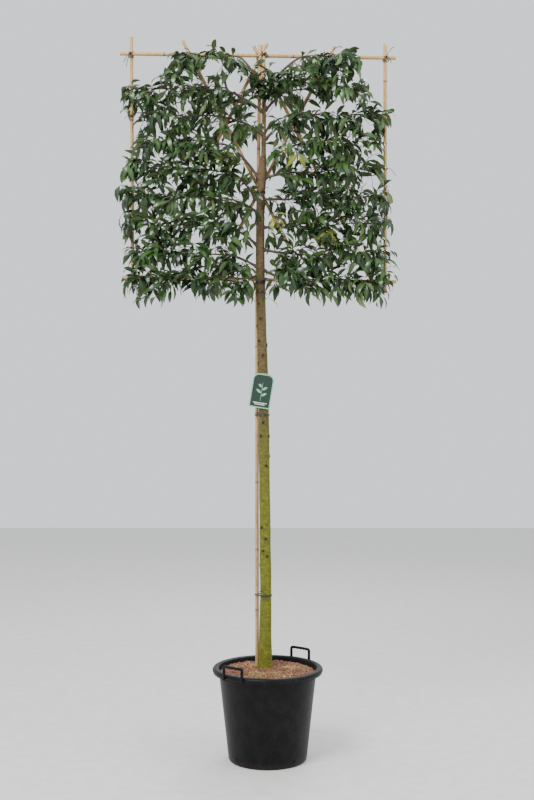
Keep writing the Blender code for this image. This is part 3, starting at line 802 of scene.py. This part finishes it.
def scatter_tree(name):
    """Geometry nodes: a pattern set on every point of a mesh by its own turn and size, then made real."""
    tree = bpy.data.node_groups.new(name, "GeometryNodeTree")
    face = tree.interface
    face.new_socket(name="Geometry", in_out="INPUT", socket_type="NodeSocketGeometry")
    for label, kind in (("Pattern", "Object"), ("Upper", "Material"), ("Under", "Material")):
        face.new_socket(name=label, in_out="INPUT", socket_type="NodeSocket" + kind)
    face.new_socket(name="Geometry", in_out="OUTPUT", socket_type="NodeSocketGeometry")
    made = {kind: tree.nodes.new(kind) for kind in (
        "NodeGroupInput", "NodeGroupOutput", "GeometryNodeObjectInfo", "GeometryNodeInstanceOnPoints",
        "GeometryNodeRealizeInstances", "FunctionNodeEulerToRotation")}
    marks = {}
    for label, kind in (("turn", "FLOAT_VECTOR"), ("size", "FLOAT_VECTOR"), ("under", "FLOAT")):
        marks[label] = tree.nodes.new("GeometryNodeInputNamedAttribute")
        marks[label].data_type = kind
        marks[label].inputs["Name"].default_value = label
    upper = tree.nodes.new("GeometryNodeSetMaterial")
    under = tree.nodes.new("GeometryNodeSetMaterial")
    given = made["NodeGroupInput"].outputs
    set_on = made["GeometryNodeInstanceOnPoints"]
    below = tree.nodes.new("FunctionNodeCompare")
    below.data_type = "FLOAT"
    below.operation = "GREATER_THAN"
    below.inputs[1].default_value = 0.5
    for start, end in (
        (given["Geometry"], set_on.inputs["Points"]),
        (given["Pattern"], made["GeometryNodeObjectInfo"].inputs["Object"]),
        (made["GeometryNodeObjectInfo"].outputs["Geometry"], set_on.inputs["Instance"]),
        (marks["turn"].outputs["Attribute"], made["FunctionNodeEulerToRotation"].inputs["Euler"]),
        (made["FunctionNodeEulerToRotation"].outputs["Rotation"], set_on.inputs["Rotation"]),
        (marks["size"].outputs["Attribute"], set_on.inputs["Scale"]),
        (set_on.outputs["Instances"], made["GeometryNodeRealizeInstances"].inputs["Geometry"]),
        (made["GeometryNodeRealizeInstances"].outputs["Geometry"], upper.inputs["Geometry"]),
        (given["Upper"], upper.inputs["Material"]),
        (upper.outputs["Geometry"], under.inputs["Geometry"]),
        (marks["under"].outputs["Attribute"], below.inputs[0]),
        (below.outputs["Result"], under.inputs["Selection"]),
        (given["Under"], under.inputs["Material"]),
        (under.outputs["Geometry"], made["NodeGroupOutput"].inputs["Geometry"]),
    ):
        tree.links.new(start, end)
    return tree


SCATTER = scatter_tree("set_on_points")


def scattered(name, spots, pattern, upper, under, slot_name, *nodes):
    """One piece of many like shapes; spots are (place, turn, size), with a size along each axis."""
    mesh = bpy.data.meshes.new(name + "_points")
    mesh.from_pydata([tuple(place) for place, turn, size in spots], [], [])
    turns = mesh.attributes.new("turn", "FLOAT_VECTOR", "POINT")
    turns.data.foreach_set("vector", [number for place, turn, size in spots for number in turn])
    sizes = mesh.attributes.new("size", "FLOAT_VECTOR", "POINT")
    sizes.data.foreach_set("vector", [number for place, turn, size in spots for number in size])
    thing = bpy.data.objects.new(name, mesh)
    bpy.context.scene.collection.objects.link(thing)
    setting = thing.modifiers.new("set", "NODES")
    setting.node_group = SCATTER
    given = [item for item in SCATTER.interface.items_tree if item.in_out == "INPUT"]
    sockets = {item.name: item.identifier for item in given}
    setting[sockets["Pattern"]] = pattern
    setting[sockets["Upper"]] = upper
    setting[sockets["Under"]] = under
    settle(thing)
    thing.data.shade_smooth()
    thing.data.set_sharp_from_angle(angle=math.radians(60))
    hand_over(thing, nodes)


def make_chips():
    """Loose bark chips over the root ball in three colours."""
    rng = random.Random(41)
    corners = [(-1, -1, -0.5), (1, -0.7, -0.4), (0.8, 1, -0.5), (-0.9, 0.6, -0.3)]
    corners += [(-0.8, -0.8, 0.4), (0.9, -0.9, 0.5), (1, 0.7, 0.3), (-0.6, 1, 0.5)]
    faces = [(0, 3, 2, 1), (4, 5, 6, 7), (0, 1, 5, 4), (1, 2, 6, 5), (2, 3, 7, 6), (3, 0, 4, 7)]
    pattern = bare_object("chip_pattern", ([Vector(c) for c in corners], faces))
    kinds = (
        ("chips_red", 1900, (0.290, 0.125, 0.066), (0.165, 0.068, 0.036)),
        ("chips_brown", 900, (0.120, 0.066, 0.040), (0.220, 0.130, 0.075)),
        ("chips_straw", 420, (0.430, 0.340, 0.110), (0.330, 0.230, 0.080)),
    )
    edge = wall_radius(SOIL_EDGE) - POT_WALL - 0.008
    foot = Vector((*TRUNK_STATIONS[0][1:3], 0))
    for name, count, colour, side_colour in kinds:
        spots = []
        while len(spots) < count:
            out = edge * math.sqrt(rng.random())
            angle = rng.uniform(0, 2 * math.pi)
            if name == "chips_straw":
                out = edge * rng.uniform(0.35, 0.95)
                angle = math.radians(rng.choice((-130, -105, -60, 20, 140)) + rng.gauss(0, 11))
            place = Vector((out * math.cos(angle), out * math.sin(angle), 0))
            if (place - foot).length < CHIP_FREE_R:
                continue
            place.z = soil_height(place.x, place.y) + rng.uniform(0.0, 0.003)
            turn = (rng.gauss(0, 0.35), rng.gauss(0, 0.35), rng.uniform(0, 6.3))
            long = rng.uniform(0.0022, 0.0075)
            spots.append((place, turn, (long, long * rng.uniform(0.3, 0.8), rng.uniform(0.0015, 0.004))))
        finish = chip_finish(name, colour, side_colour)
        scattered(name, spots, pattern, finish, finish, "soil")
    bpy.data.objects.remove(pattern, do_unlink=True)


# Trunk, canes, ties and tag

def trunk_at(height):
    """The trunk's centre and radius at a height."""
    for low, high in zip(TRUNK_STATIONS, TRUNK_STATIONS[1:]):
        if height <= high[0]:
            share = max(0.0, (height - low[0]) / (high[0] - low[0]))
            return tuple(a + (b - a) * share for a, b in zip(low[1:], high[1:]))
    return TRUNK_STATIONS[-1][1:]


def make_trunk():
    """Fine level rings, roughened by noise, with a dent and a raised lip at each old wound."""
    sides = TRUNK_SIDES
    rows = TRUNK_ROWS
    wounds = []
    for across_px, down_px, size in SCARS:
        spot = place_of(across_px, down_px, -0.02)
        x, y, radius = trunk_at(spot.z)
        lean = max(-0.85, min(0.85, (spot.x - x) / radius))
        wounds.append((spot.z, math.atan2(-math.sqrt(1 - lean * lean), lean), size * WOUND_SWELL))
    rng = random.Random(17)
    for _ in range(BACK_WOUNDS):
        wounds.append((rng.uniform(0.7, 2.35), rng.uniform(0.2, 2.9), rng.uniform(0.005, 0.0065)))
    low, high = TRUNK_STATIONS[0][0], TRUNK_STATIONS[-1][0]
    rings = []
    marks = []
    for row in range(rows + 1):
        height = low + (high - low) * row / rows
        x, y, radius = trunk_at(height)
        ring = []
        for step in range(sides):
            angle = 2 * math.pi * step / sides
            out = Vector((math.cos(angle), math.sin(angle), 0))
            rough = noise.noise(out * 1.6 + Vector((0, 0, height * 11))) * 0.05
            rough += noise.noise(out * 5 + Vector((0, 0, height * 120))) * 0.020
            wound = 0.0
            for wound_z, wound_turn, size in wounds:
                if abs(height - wound_z) > size * 2.2:
                    continue
                around = (angle - wound_turn + math.pi) % (2 * math.pi) - math.pi
                away = math.hypot(around * radius, height - wound_z) / size
                rough += 0.10 * math.exp(-((away - 1.0) / 0.34) ** 2) - 0.10 * math.exp(-(away / 0.55) ** 2)
                rough += 0.13 * math.exp(-(away / 1.25) ** 2)
                wound = max(wound, 0.95 if away < 0.55 else max(0.0, 0.95 - (away - 0.55) / 0.45))
            if row == 0:
                rough = min(rough, 0.0)
            rough = max(-0.12, min(0.24, rough))
            ring.append(Vector((x, y, height)) + out * radius * (1 + rough))
            marks.append(wound)
        rings.append(ring)
    thing = piece("trunk_bark", joined_rings(rings), BARK, "bark", "trunk", crease=80)
    held = thing.data.attributes.new("wound", "FLOAT", "POINT")
    held.data.foreach_set("value", marks)


def cane_line(name):
    """The two ends of a rack cane."""
    (x0, z0), (x1, z1), layer = CANES[name]
    depth = RACK_FRONT_Y + layer * CANE_PITCH
    return Vector((x0, depth, z0)), Vector((x1, depth, z1))


def make_cane(name, route, seed, slant=0.0):
    """Bamboo with swollen rings and hollow cut ends; slant tilts the cut at its first end."""
    rng = random.Random(seed)
    total = (route[-1] - route[0]).length
    if name in CANE_NODES:
        way = (route[-1] - route[0]).normalized()
        joints = [abs((height - route[0].z) / way.z) for height in CANE_NODES[name]]
    else:
        joints = []
        along = rng.uniform(0.08, 0.20)
        while along < total - 0.04:
            joints.append(along)
            along += NODE_SPACING * rng.uniform(0.82, 1.12)
    spots = {total * step / CANE_ROWS for step in range(CANE_ROWS + 1)}
    spots |= {joint + off for joint in joints for off in RING_ROWS}
    stations = sorted(spot for spot in spots if 0.0 <= spot <= total)
    lengths = [0.0]
    for a, b in zip(route, route[1:]):
        lengths.append(lengths[-1] + (b - a).length)
    centres = []
    radii = []
    marks = []
    for along in stations:
        run = along / total * lengths[-1]
        index = next((i for i in range(len(lengths) - 2) if run <= lengths[i + 1]), len(lengths) - 2)
        part = (run - lengths[index]) / (lengths[index + 1] - lengths[index])
        centres.append(route[index].lerp(route[index + 1], min(part, 1.0)))
        radius = CANE_R * 0.97
        ring = 0.0
        for joint in joints:
            gap = along - joint
            swell = 0.15 * math.exp(-(gap / 0.0035) ** 2)
            radius += CANE_R * (swell - 0.10 * math.exp(-((gap - 0.0025) / 0.0012) ** 2))
            ring = max(ring, math.exp(-((gap - 0.002) / 0.0030) ** 2))
        radii.append(radius)
        marks.append(ring)
    frames = frames_along(centres)
    rings = [ring_of(*station, CANE_SIDES) for station in zip(centres, frames, radii)]
    bore = CANE_R * 0.5
    for end, deep in ((0, BORE_DEPTH), (-1, -BORE_DEPTH)):
        edge = ring_of(centres[end], frames[end], bore, CANE_SIDES)
        depth = ring_of(centres[end] + frames[end][0] * deep, frames[end], bore, CANE_SIDES)
        rings = [depth, edge] + rings if end == 0 else rings + [edge, depth]
    # Painted shade: the ring mark rises over each cut end to full darkness at the bottom of its bore
    marks = [1.0, 0.35] + marks + [0.35, 1.0]
    for ring in rings[:3]:
        for corner, spot in enumerate(ring):
            ring[corner] = spot + frames[0][0] * slant * (spot.x - centres[0].x + CANE_R)
    thing = piece(name + "_bamboo", joined_rings(rings), CANE, "cane", name)
    held = thing.data.attributes.new("ring", "FLOAT", "POINT")
    held.data.foreach_set("value", [mark for mark in marks for corner in range(CANE_SIDES)])


def make_canes():
    for seed, name in enumerate(CANES):
        first, last = cane_line(name)
        bow = Vector((0, 0, 0.0008))
        route = [first, first.lerp(last, 0.5) + bow, last]
        make_cane(name, route, 60 + seed, slant=1.0 if name == "right_upright" else 0.0)
    route = [Vector((x, y, z)) for z, x, y in POST_ROUTE]
    make_cane("post_cane", route, 80)


def post_at(height):
    for low, high in zip(POST_ROUTE, POST_ROUTE[1:]):
        if height <= high[0]:
            share = (height - low[0]) / (high[0] - low[0])
            return tuple(a + (b - a) * share for a, b in zip(low[1:], high[1:]))
    return POST_ROUTE[-1][1:]


def tight_outline(circles):
    """The outline of a string pulled tight round circles given as (x, y, radius)."""
    spots = []
    for step in range(TIE_SIDES):
        angle = 2 * math.pi * step / TIE_SIDES
        way = Vector((math.cos(angle), math.sin(angle)))
        far = max(circles, key=lambda c: c[0] * way.x + c[1] * way.y + c[2])
        spots.append((far[0] + way.x * far[2], far[1] + way.y * far[2]))
    return spots


def make_trunk_ties():
    for number, (height, tall, tails) in enumerate(TRUNK_TIES, 1):
        rng = random.Random(200 + number)
        x, y, radius = trunk_at(height)
        circles = [(x, y, radius * 1.03 + 0.001), (*post_at(height), CANE_R + 0.001)]
        if height > 2.03:
            first, last = cane_line("centre_cane")
            share = (first.z - height) / (first.z - last.z)
            circles.append((first.x + (last.x - first.x) * share, RACK_FRONT_Y, CANE_R + 0.001))
        shapes = []
        for turn in range(3 if tall > 0.007 else 2):
            lift = (turn - 0.5) * tall * 0.55
            ring = []
            for step, (spot_x, spot_y) in enumerate(tight_outline(circles)):
                wave = math.sin(step / TIE_SIDES * 2 * math.pi + turn) * 0.0010
                ring.append(Vector((spot_x, spot_y, height + lift + wave)))
            shapes.append(loop_tube(ring, 0.0019))
        knot = Vector((x + radius * 0.25, y - radius - 0.003, height))
        shapes += knot_shape(knot, 0.0032, rng)
        shapes += [tail_shape(knot, tail, rng, 0.0017) for tail in tails]
        piece(f"trunk_tie_{number}", gathered(shapes), TIE, "tie", f"tie_{number}")


def crossing(first, second):
    """Where two canes cross as seen from the front, midway in depth, and half the depth between them."""
    a, b = cane_line(first)
    c, d = cane_line(second)
    run, other = b - a, d - c
    share = ((c.x - a.x) * other.z - (c.z - a.z) * other.x) / (run.x * other.z - run.z * other.x)
    spot = a + run * share
    spot.y = (a.y + c.y) / 2
    return spot, abs(a.y - c.y) / 2


def wrap(spot, half_wide, half_deep, way):
    """A turn of tie round what passes through a spot, leaning one way."""
    ring = []
    for step in range(20):
        angle = 2 * math.pi * step / 20
        ring.append(spot + way * math.cos(angle) * half_wide + Vector((0, math.sin(angle) * half_deep, 0)))
    return ring


def make_rack_ties():
    shapes = []
    for number, (first, second, tails) in enumerate(CROSS_TIES):
        rng = random.Random(300 + number)
        spot, half_gap = crossing(first, second)
        deep = half_gap + CANE_R + 0.0016
        for turn in range(4):
            lean = 1 if turn % 2 else -1
            way = Vector((1, 0, lean * rng.uniform(0.8, 1.15))).normalized()
            shift = Vector((rng.uniform(-0.002, 0.002), 0, rng.uniform(-0.002, 0.002)))
            shapes.append(loop_tube(wrap(spot + shift, 0.0155, deep, way), 0.0018, 6))
        knot = spot + Vector((rng.uniform(-0.003, 0.003), -deep - 0.001, 0.002))
        shapes += knot_shape(knot, 0.0034, rng)
        shapes += [tail_shape(knot, tail, rng, 0.0016) for tail in tails]
    for number, (name, height, tail) in enumerate(SHOOT_TIES):
        rng = random.Random(400 + number)
        first, last = cane_line(name)
        spot = first.lerp(last, (first.z - height) / (first.z - last.z))
        for turn in range(2):
            middle = spot + Vector((0, -0.003, turn * 0.003))
            ring = wrap(middle, CANE_R + 0.002, CANE_R + 0.005, Vector((1, 0, 0)))
            shapes.append(loop_tube(ring, 0.0017, 6))
        knot = spot + Vector((0, -CANE_R - 0.008, 0.001))
        shapes += knot_shape(knot, 0.0026, rng)
        shapes.append(tail_shape(knot, tail, rng, 0.0012))
    piece("rack_ties", gathered(shapes), TIE, "tie")


def arch_outline(half, high, corner, steps=10):
    """The outline of a card with a round-cornered top, from its lower left corner."""
    outline = [(-half, -high), (half, -high)]
    for side in (1, -1):
        turns = range(steps + 1) if side == 1 else range(steps, -1, -1)
        for step in turns:
            angle = math.pi / 2 * step / steps
            x = side * (half - corner + corner * math.cos(angle))
            outline.append((x, high - corner + corner * math.sin(angle)))
    return outline


def card_layer(outline, front, back):
    """A flat layer of the tag between two depths, leaning as the tag hangs."""
    lean = Matrix.Rotation(LABEL_LEAN, 3, "Y")
    rings = [[LABEL_PLACE + lean @ Vector((x, depth, z)) for x, z in outline] for depth in (front, back)]
    return joined_rings(rings)


def make_tag():
    """A hanging plastic tag with a pale edge, a plain sprig and two bars, and the loop that carries it."""
    half, high = LABEL_WIDE / 2, LABEL_HIGH / 2
    green = card_finish("tag_green", (0.003, 0.024, 0.013), (0.008, 0.045, 0.026))
    mint = card_finish("tag_mint", (0.200, 0.480, 0.310), (0.280, 0.540, 0.390))
    pale = card_finish("tag_pale", (0.620, 0.680, 0.560), (0.540, 0.600, 0.480))
    outer = arch_outline(half, high, 0.026)
    piece("tag_card", card_layer(outer, 0.0006, -0.0005), mint, "label", "label_card")
    inner = arch_outline(half - 0.005, high - 0.005, 0.022)
    piece("tag_face", card_layer(inner, -0.0004, -0.0009), green, "label")
    shapes = []
    blades = ((-0.020, 0.026, 1), (-0.008, 0.028, -1), (0.006, 0.026, 1), (0.018, 0.020, -1))
    for rise, reach, hand in blades:
        outline = []
        for step in range(16):
            angle = 2 * math.pi * step / 16
            along = (1 - math.cos(angle)) / 2
            swell = math.sin(angle) * 0.0062 * math.sin(math.pi * min(1, along + 0.02)) ** 0.5
            outline.append((hand * along * reach * 0.9, rise + along * reach * 0.45 + swell))
        shapes.append(card_layer(outline, -0.0008, -0.0012))
    stalk = [(-0.0008, -0.042), (0.0008, -0.042), (0.0006, 0.036), (-0.0006, 0.036)]
    shapes.append(card_layer(stalk, -0.0008, -0.0012))
    piece("tag_sprig", gathered(shapes), mint, "label")
    bars = []
    for rise, reach in ((-0.052, 0.030), (-0.059, 0.022)):
        low, top = rise - 0.0018, rise + 0.0018
        outline = [(-reach, low), (reach, low), (reach, top), (-reach, top)]
        bars.append(card_layer(outline, -0.0008, -0.0011))
    piece("tag_bars", gathered(bars), pale, "label")
    height = LABEL_PLACE.z + high - 0.004
    x, y, radius = trunk_at(height)
    round_trunk = tight_outline([(x, y, radius * 1.04 + 0.0012)])
    ring = [Vector((spot_x, spot_y, height + (spot_y - y) * -0.25)) for spot_x, spot_y in round_trunk]
    piece("tag_loop", loop_tube(ring, 0.0012), mint, "label")


# Boughs and foliage

def tier_top(index):
    return CROWN_TOP if index == 0 else CROWN_TOP - TOP_TIER - TIER * (index - 1)


def bough_route(index, side, root_z, tip_x):
    """A bough that leaves the trunk steeply and levels out under its tier's top."""
    x, y, radius = trunk_at(root_z)
    root_x = x + side * (radius - 0.003)
    tip_z = tier_top(index) - STEM_BELOW - 0.012
    tip_y = y + 0.003 * (-1) ** index
    route = []
    for step in range(13):
        share = step / 12
        lift = 1 - (1 - share) ** 1.7
        sway = 0.0025 * math.sin(share * 9 + index * 2.1) * share
        across = root_x + (tip_x - root_x) * share
        depth = y + (tip_y - y) * share
        height = root_z + (tip_z - root_z) * lift
        route.append(Vector((across, depth, height)) + Vector((0, sway, sway * 0.8)))
    return route


def make_bough(word, index, route):
    """A tapering limb with a swollen collar and small knuckles."""
    rng = random.Random(500 + index + (50 if word == "left" else 0))
    fine = smooth_route(route, 4)
    radii = []
    for step in range(len(fine)):
        share = step / (len(fine) - 1)
        knuckle = 0.0007 * max(0.0, math.sin(share * 26 + index)) ** 6
        collar = 0.0030 * math.exp(-(share / 0.06) ** 2)
        taper = BOUGH_ROOT_R + (BOUGH_TIP_R - BOUGH_ROOT_R) * share
        radii.append(taper + knuckle + collar + rng.uniform(0, 0.0002))
    shape = tube(fine, radii, 12)
    piece(f"bough_limb_{word}_{index + 1}", shape, BOUGH_BARK, "twig", f"bough_{word}_{index + 1}")


def leaf_pattern():
    """A folded blade, one unit long along +X, that arches over and is closed at its edge."""
    stations = ((0.14, 0.26, 0.035), (0.38, 0.96, 0.052), (0.64, 0.88, -0.008), (0.84, 0.44, -0.130))
    points = [Vector((0, 0, 0))]
    for along, wide, rise in stations:
        half = wide * LEAF_WIDE / LEAF_LONG / 2
        points += [Vector((along, half, rise + 0.026 * wide)), Vector((along, 0, rise + 0.004))]
        points += [Vector((along, -half, rise + 0.026 * wide)), Vector((along, 0, rise - 0.008))]
    points.append(LEAF_TIP.copy())
    tip = len(points) - 1
    rows = len(stations)
    last = 1 + (rows - 1) * 4
    faces = []
    under = []
    for corner in range(4):
        after = (corner + 1) % 4
        below = 1.0 if corner > 1 else 0.0
        faces.append((0, 1 + after, 1 + corner))
        for row in range(rows - 1):
            low = 1 + row * 4
            faces.append((low + corner, low + after, low + 4 + after, low + 4 + corner))
        faces.append((last + corner, last + after, tip))
        under += [below] * (rows + 1)
    thing = bare_object("leaf_pattern", (points, faces))
    thing.data.attributes.new("under", "FLOAT", "FACE").data.foreach_set("value", under)
    ribs = [1.0 if abs(point.y) < 0.001 else 0.0 for point in points]
    thing.data.attributes.new("rib", "FLOAT", "POINT").data.foreach_set("value", ribs)
    return thing


def blockers():
    """A search tree of the trunk and the canes, that leaves and twigs keep off."""
    route = [Vector((x, y, z)) for z, x, y, _ in TRUNK_STATIONS]
    shapes = [tube(route, [station[3] + 0.002 for station in TRUNK_STATIONS], 10)]
    route = [Vector((x, y, z)) for z, x, y in POST_ROUTE]
    shapes.append(tube(route, [CANE_R + 0.001] * len(route), 8))
    for name in CANES:
        shapes.append(tube(list(cane_line(name)), [CANE_R + 0.001] * 2, 8))
    return BVHTree.FromPolygons(*gathered(shapes))


def clear_run(tree, start, end):
    """Whether a straight run meets nothing of the search tree."""
    way = end - start
    return tree.ray_cast(start, way.normalized(), way.length)[0] is None


def blade_turn(way, face):
    """The turn that lays a blade's length along way with its upper side towards face."""
    side = face.cross(way).normalized()
    top = way.cross(side).normalized()
    return Matrix((way, side, top)).transposed().to_euler()


class Crown:
    """Twigs and leaves of the whole crown, kept apart by side and by shade."""

    def __init__(self):
        self.tree = blockers()
        self.twigs = {"left": [], "right": []}
        self.leaves = {word: {shade: [] for shade in LEAVES} for word in ("left", "right")}

    def within(self, point, low, high):
        return all(low[i] <= point[i] <= high[i] for i in range(3))

    def leaf(self, word, shade, root, way, face, low, high, rng):
        long = LEAF_LONG * rng.uniform(0.82, 1.14)
        turn = blade_turn(way, face)
        tip = root + turn.to_matrix() @ LEAF_TIP * long
        middle = root + way * long * 0.5
        if not self.within(tip, low, high) or not self.within(middle, low, high):
            return False
        if in_window(tip) or in_window(middle):
            return False
        if not clear_run(self.tree, root, tip) or not clear_run(self.tree, root, middle):
            return False
        self.leaves[word][shade].append((root, turn, (long, long * rng.uniform(0.85, 1.15), long)))
        return True

    def shoot(self, word, route, radii, shades, low, high, rng, count):
        """A twig with up to count leaves, set round it in a spiral that ends at its tip."""
        self.twigs[word].append(tube(route, radii, 5))
        shade = rng.choice(shades)
        for number in range(count):
            share = BARE_FOOT + (1 - BARE_FOOT) * (number + 0.8) / count
            root = blend_along(route, min(share, 1.0))
            ahead = blend_along(route, min(share + 0.08, 1.0))
            along = (ahead - blend_along(route, max(share - 0.08, 0.0))).normalized()
            for attempt in range(7):
                spin = SPIRAL_TURN * number + attempt * 1.1 + rng.uniform(-0.4, 0.4)
                first = along.cross(Vector((0.1, 0.2, 1))).normalized()
                out = first * math.cos(spin) + along.cross(first) * math.sin(spin)
                way = along * rng.uniform(0.35, 1.0) + out
                way = (way + Vector((0, 0, rng.uniform(-0.95, 0.15)))).normalized()
                face = Vector((rng.uniform(-0.5, 0.5), rng.uniform(-1.0, 0.7), rng.uniform(0.35, 1.1)))
                face.normalize()
                if abs(face.dot(way)) > 0.86:
                    continue
                if self.leaf(word, shade, root, way, face, low, high, rng):
                    break

    def mass(self, word, index, side, bough, reach_x):
        """One mass: the stem goes on from its bough, with twigs on it and on the bough."""
        rng = random.Random(100 * index + (7 if side > 0 else 3))
        top = tier_top(index)
        inner_x = CROWN_SPLIT + side * 0.003
        low = (min(inner_x, reach_x), CROWN_FRONT, tier_top(index + 1) - TIER_OVERLAP)
        high = (max(inner_x, reach_x), CROWN_BACK, min(top + TIER_OVERLAP * 0.8, CROWN_TOP))
        start = bough[-1]
        way = (bough[-1] - bough[-2]).normalized()
        end = Vector((reach_x - side * 0.045, start.y, top - STEM_BELOW))
        spots = [start]
        for step in range(1, 6):
            bend = math.sin(math.pi * step / 5)
            wave = Vector((0, 0.010 * bend * rng.uniform(-1, 1), 0.012 * bend * rng.uniform(-0.4, 1)))
            spots.append(start.lerp(end, step / 5) + wave)
        spots[1] = spots[0] + way * (spots[1] - spots[0]).length
        stem = smooth_route(spots, 4)
        radii = [BOUGH_TIP_R + (TWIG_R - BOUGH_TIP_R) * step / (len(stem) - 1) for step in range(len(stem))]
        # Masses whose twigs near the trunk also take the leaves painted yellow-green as if lit through from
        # behind
        young = index in (3, 4, 7, 8)
        shades = ["dark"] * 5 + ["mid"] * 4
        self.shoot(word, stem, radii, shades, low, high, rng, count=16)
        length = abs(end.x - start.x)
        count = length / TWIG_PITCH
        carriers = [(stem, (n + 0.5) / count) for n in range(int(count))]
        bough_long = abs(bough[-1].x - bough[0].x)
        count = int(bough_long / BOUGH_TWIG_PITCH)
        carriers += [(bough, 0.12 + 0.88 * (n + 0.5) / count) for n in range(count)]
        for number, (carrier, share) in enumerate(carriers):
            root = blend_along(carrier, min(share, 0.999))
            floor_z = min(low[2], root.z - 0.075)
            own_low = (low[0], low[1], max(floor_z, tier_top(9) - TIER_OVERLAP))
            for attempt in range(6):
                hand = (-1) ** (number + attempt)
                out = side * rng.uniform(-0.25, 1.0)
                deep = hand * rng.uniform(0.15, 1.1)
                way = Vector((out, deep, rng.uniform(-0.75, 0.10 if index == 0 else 0.75))).normalized()
                long = rng.uniform(0.055, 0.125) * (1 - 0.09 * attempt)
                tip = root + way * long - Vector((0, 0, 0.010))
                if not self.within(tip, own_low, high) or not clear_run(self.tree, root, tip):
                    continue
                middle = root + way * long * 0.5 + Vector((0, 0, rng.uniform(0, 0.008)))
                twig = smooth_route([root, middle, tip], 3)
                thin = [TWIG_R + (TWIG_TIP_R - TWIG_R) * step / 6 for step in range(7)]
                # Near the trunk some twigs carry leaves painted yellow-green as if lit through from behind
                near_trunk = young and abs(root.x) < 0.13
                kinds = shades + (["young"] * (4 if index < 5 else 2) if near_trunk else [])
                if index in (6, 8) and rng.random() < 0.05:
                    kinds = ["young"]
                self.shoot(word, twig, thin, kinds, own_low, high, rng, count=rng.randint(6, 9))
                break

    def make(self):
        pattern = leaf_pattern()
        for word in ("left", "right"):
            nodes = [f"foliage_{word}_{index + 1}" for index in range(len(BOUGHS[word]))]
            piece(f"twigs_{word}", gathered(self.twigs[word]), TWIG_BARK, "twig", *nodes)
            for shade, spots in self.leaves[word].items():
                if spots:
                    scattered(f"leaves_{shade}_{word}", spots, pattern, LEAVES[shade], UNDER_LEAF, "leaf")
        bpy.data.objects.remove(pattern, do_unlink=True)


def leader_shoots(crown):
    """Short leafy shoots on the leader and one on the bare stem under the crown."""
    rng = random.Random(77)
    low = (-0.11, CROWN_FRONT, 2.86)
    high = (0.09, CROWN_BACK, CROWN_TOP)
    for number in range(9):
        height = 2.78 + 0.014 * number
        x, y, radius = trunk_at(height)
        side = (-1) ** number
        root = Vector((x, y - radius * 0.5, height))
        run = Vector((side * rng.uniform(0.02, 0.06), rng.uniform(-0.07, -0.02), rng.uniform(0.05, 0.13)))
        tip = root + run
        twig = smooth_route([root, root.lerp(tip, 0.5) + Vector((side * 0.006, -0.006, 0)), tip], 3)
        radii = [TWIG_R + (TWIG_TIP_R - TWIG_R) * step / 6 for step in range(7)]
        crown.shoot("left" if side < 0 else "right", twig, radii, ["dark", "mid"], low, high, rng, count=8)
    root = place_of(265.5, 300, -0.016)
    tip = root + Vector((0.016, -0.012, 0.010))
    twig = smooth_route([root, root.lerp(tip, 0.5) + Vector((0.002, 0, 0.003)), tip], 3)
    low = (-0.02, -0.09, 1.93)
    high = (0.06, 0.05, 2.06)
    crown.shoot("right", twig, [TWIG_TIP_R] * 7, ["mid"], low, high, rng, count=3)


def make_crown():
    crown = Crown()
    leader_shoots(crown)
    for word, side in (("left", -1), ("right", 1)):
        for index, (root_z, tip_x, reach_x) in enumerate(BOUGHS[word]):
            route = bough_route(index, side, root_z, tip_x)
            make_bough(word, index, route)
            crown.mass(word, index, side, route, reach_x)
    crown.make()


# Room, light and view

def make_room():
    corners = [Vector((x, y, 0)) for x, y in ((-9, -9), (9, -9), (9, 9), (-9, 9))]
    floor = bare_object("floor", (corners, [(0, 1, 2, 3)]))
    floor.data.materials.append(floor_finish())
    world = bpy.data.worlds.new("pale_room")
    world.use_nodes = True
    world.node_tree.nodes["Background"].inputs["Color"].default_value = (0.94, 0.97, 1.00, 1.0)
    world.node_tree.nodes["Background"].inputs["Strength"].default_value = 1.15
    bpy.context.scene.world = world
    for name, place, aim, size, power in (
        ("high_front_light", (-2.2, -3.4, 5.4), (0, 0, 2.2), 2.2, 340),
        ("right_light", (3.6, -1.8, 3.6), (0, 0, 1.8), 2.6, 70),
        ("back_light", (1.2, 3.6, 4.6), (0, 0, 2.2), 2.4, 110),
    ):
        lamp = bpy.data.lights.new(name, "AREA")
        lamp.size = size
        lamp.energy = power
        holder = bpy.data.objects.new(name, lamp)
        holder.location = place
        holder.rotation_euler = (Vector(aim) - Vector(place)).to_track_quat("-Z", "Y").to_euler()
        bpy.context.scene.collection.objects.link(holder)


def make_camera():
    lens = bpy.data.cameras.new("view")
    lens.sensor_fit = "VERTICAL"
    lens.sensor_height = 36.0
    lens.lens = lens.sensor_height * LENS_PX / PHOTO_HIGH_PX
    holder = bpy.data.objects.new("view", lens)
    holder.location = EYE
    holder.rotation_euler = (math.pi / 2, 0.0, 0.0)
    bpy.context.scene.collection.objects.link(holder)
    bpy.context.scene.camera = holder


make_camera()
make_pot()
make_handle("handle_grip_back", "handle_back", HANDLE_TURN)
make_handle("handle_grip_front", "handle_front", HANDLE_TURN + math.pi)
make_soil()
make_chips()
make_trunk()
make_canes()
make_trunk_ties()
make_rack_ties()
make_tag()
make_crown()
make_room()
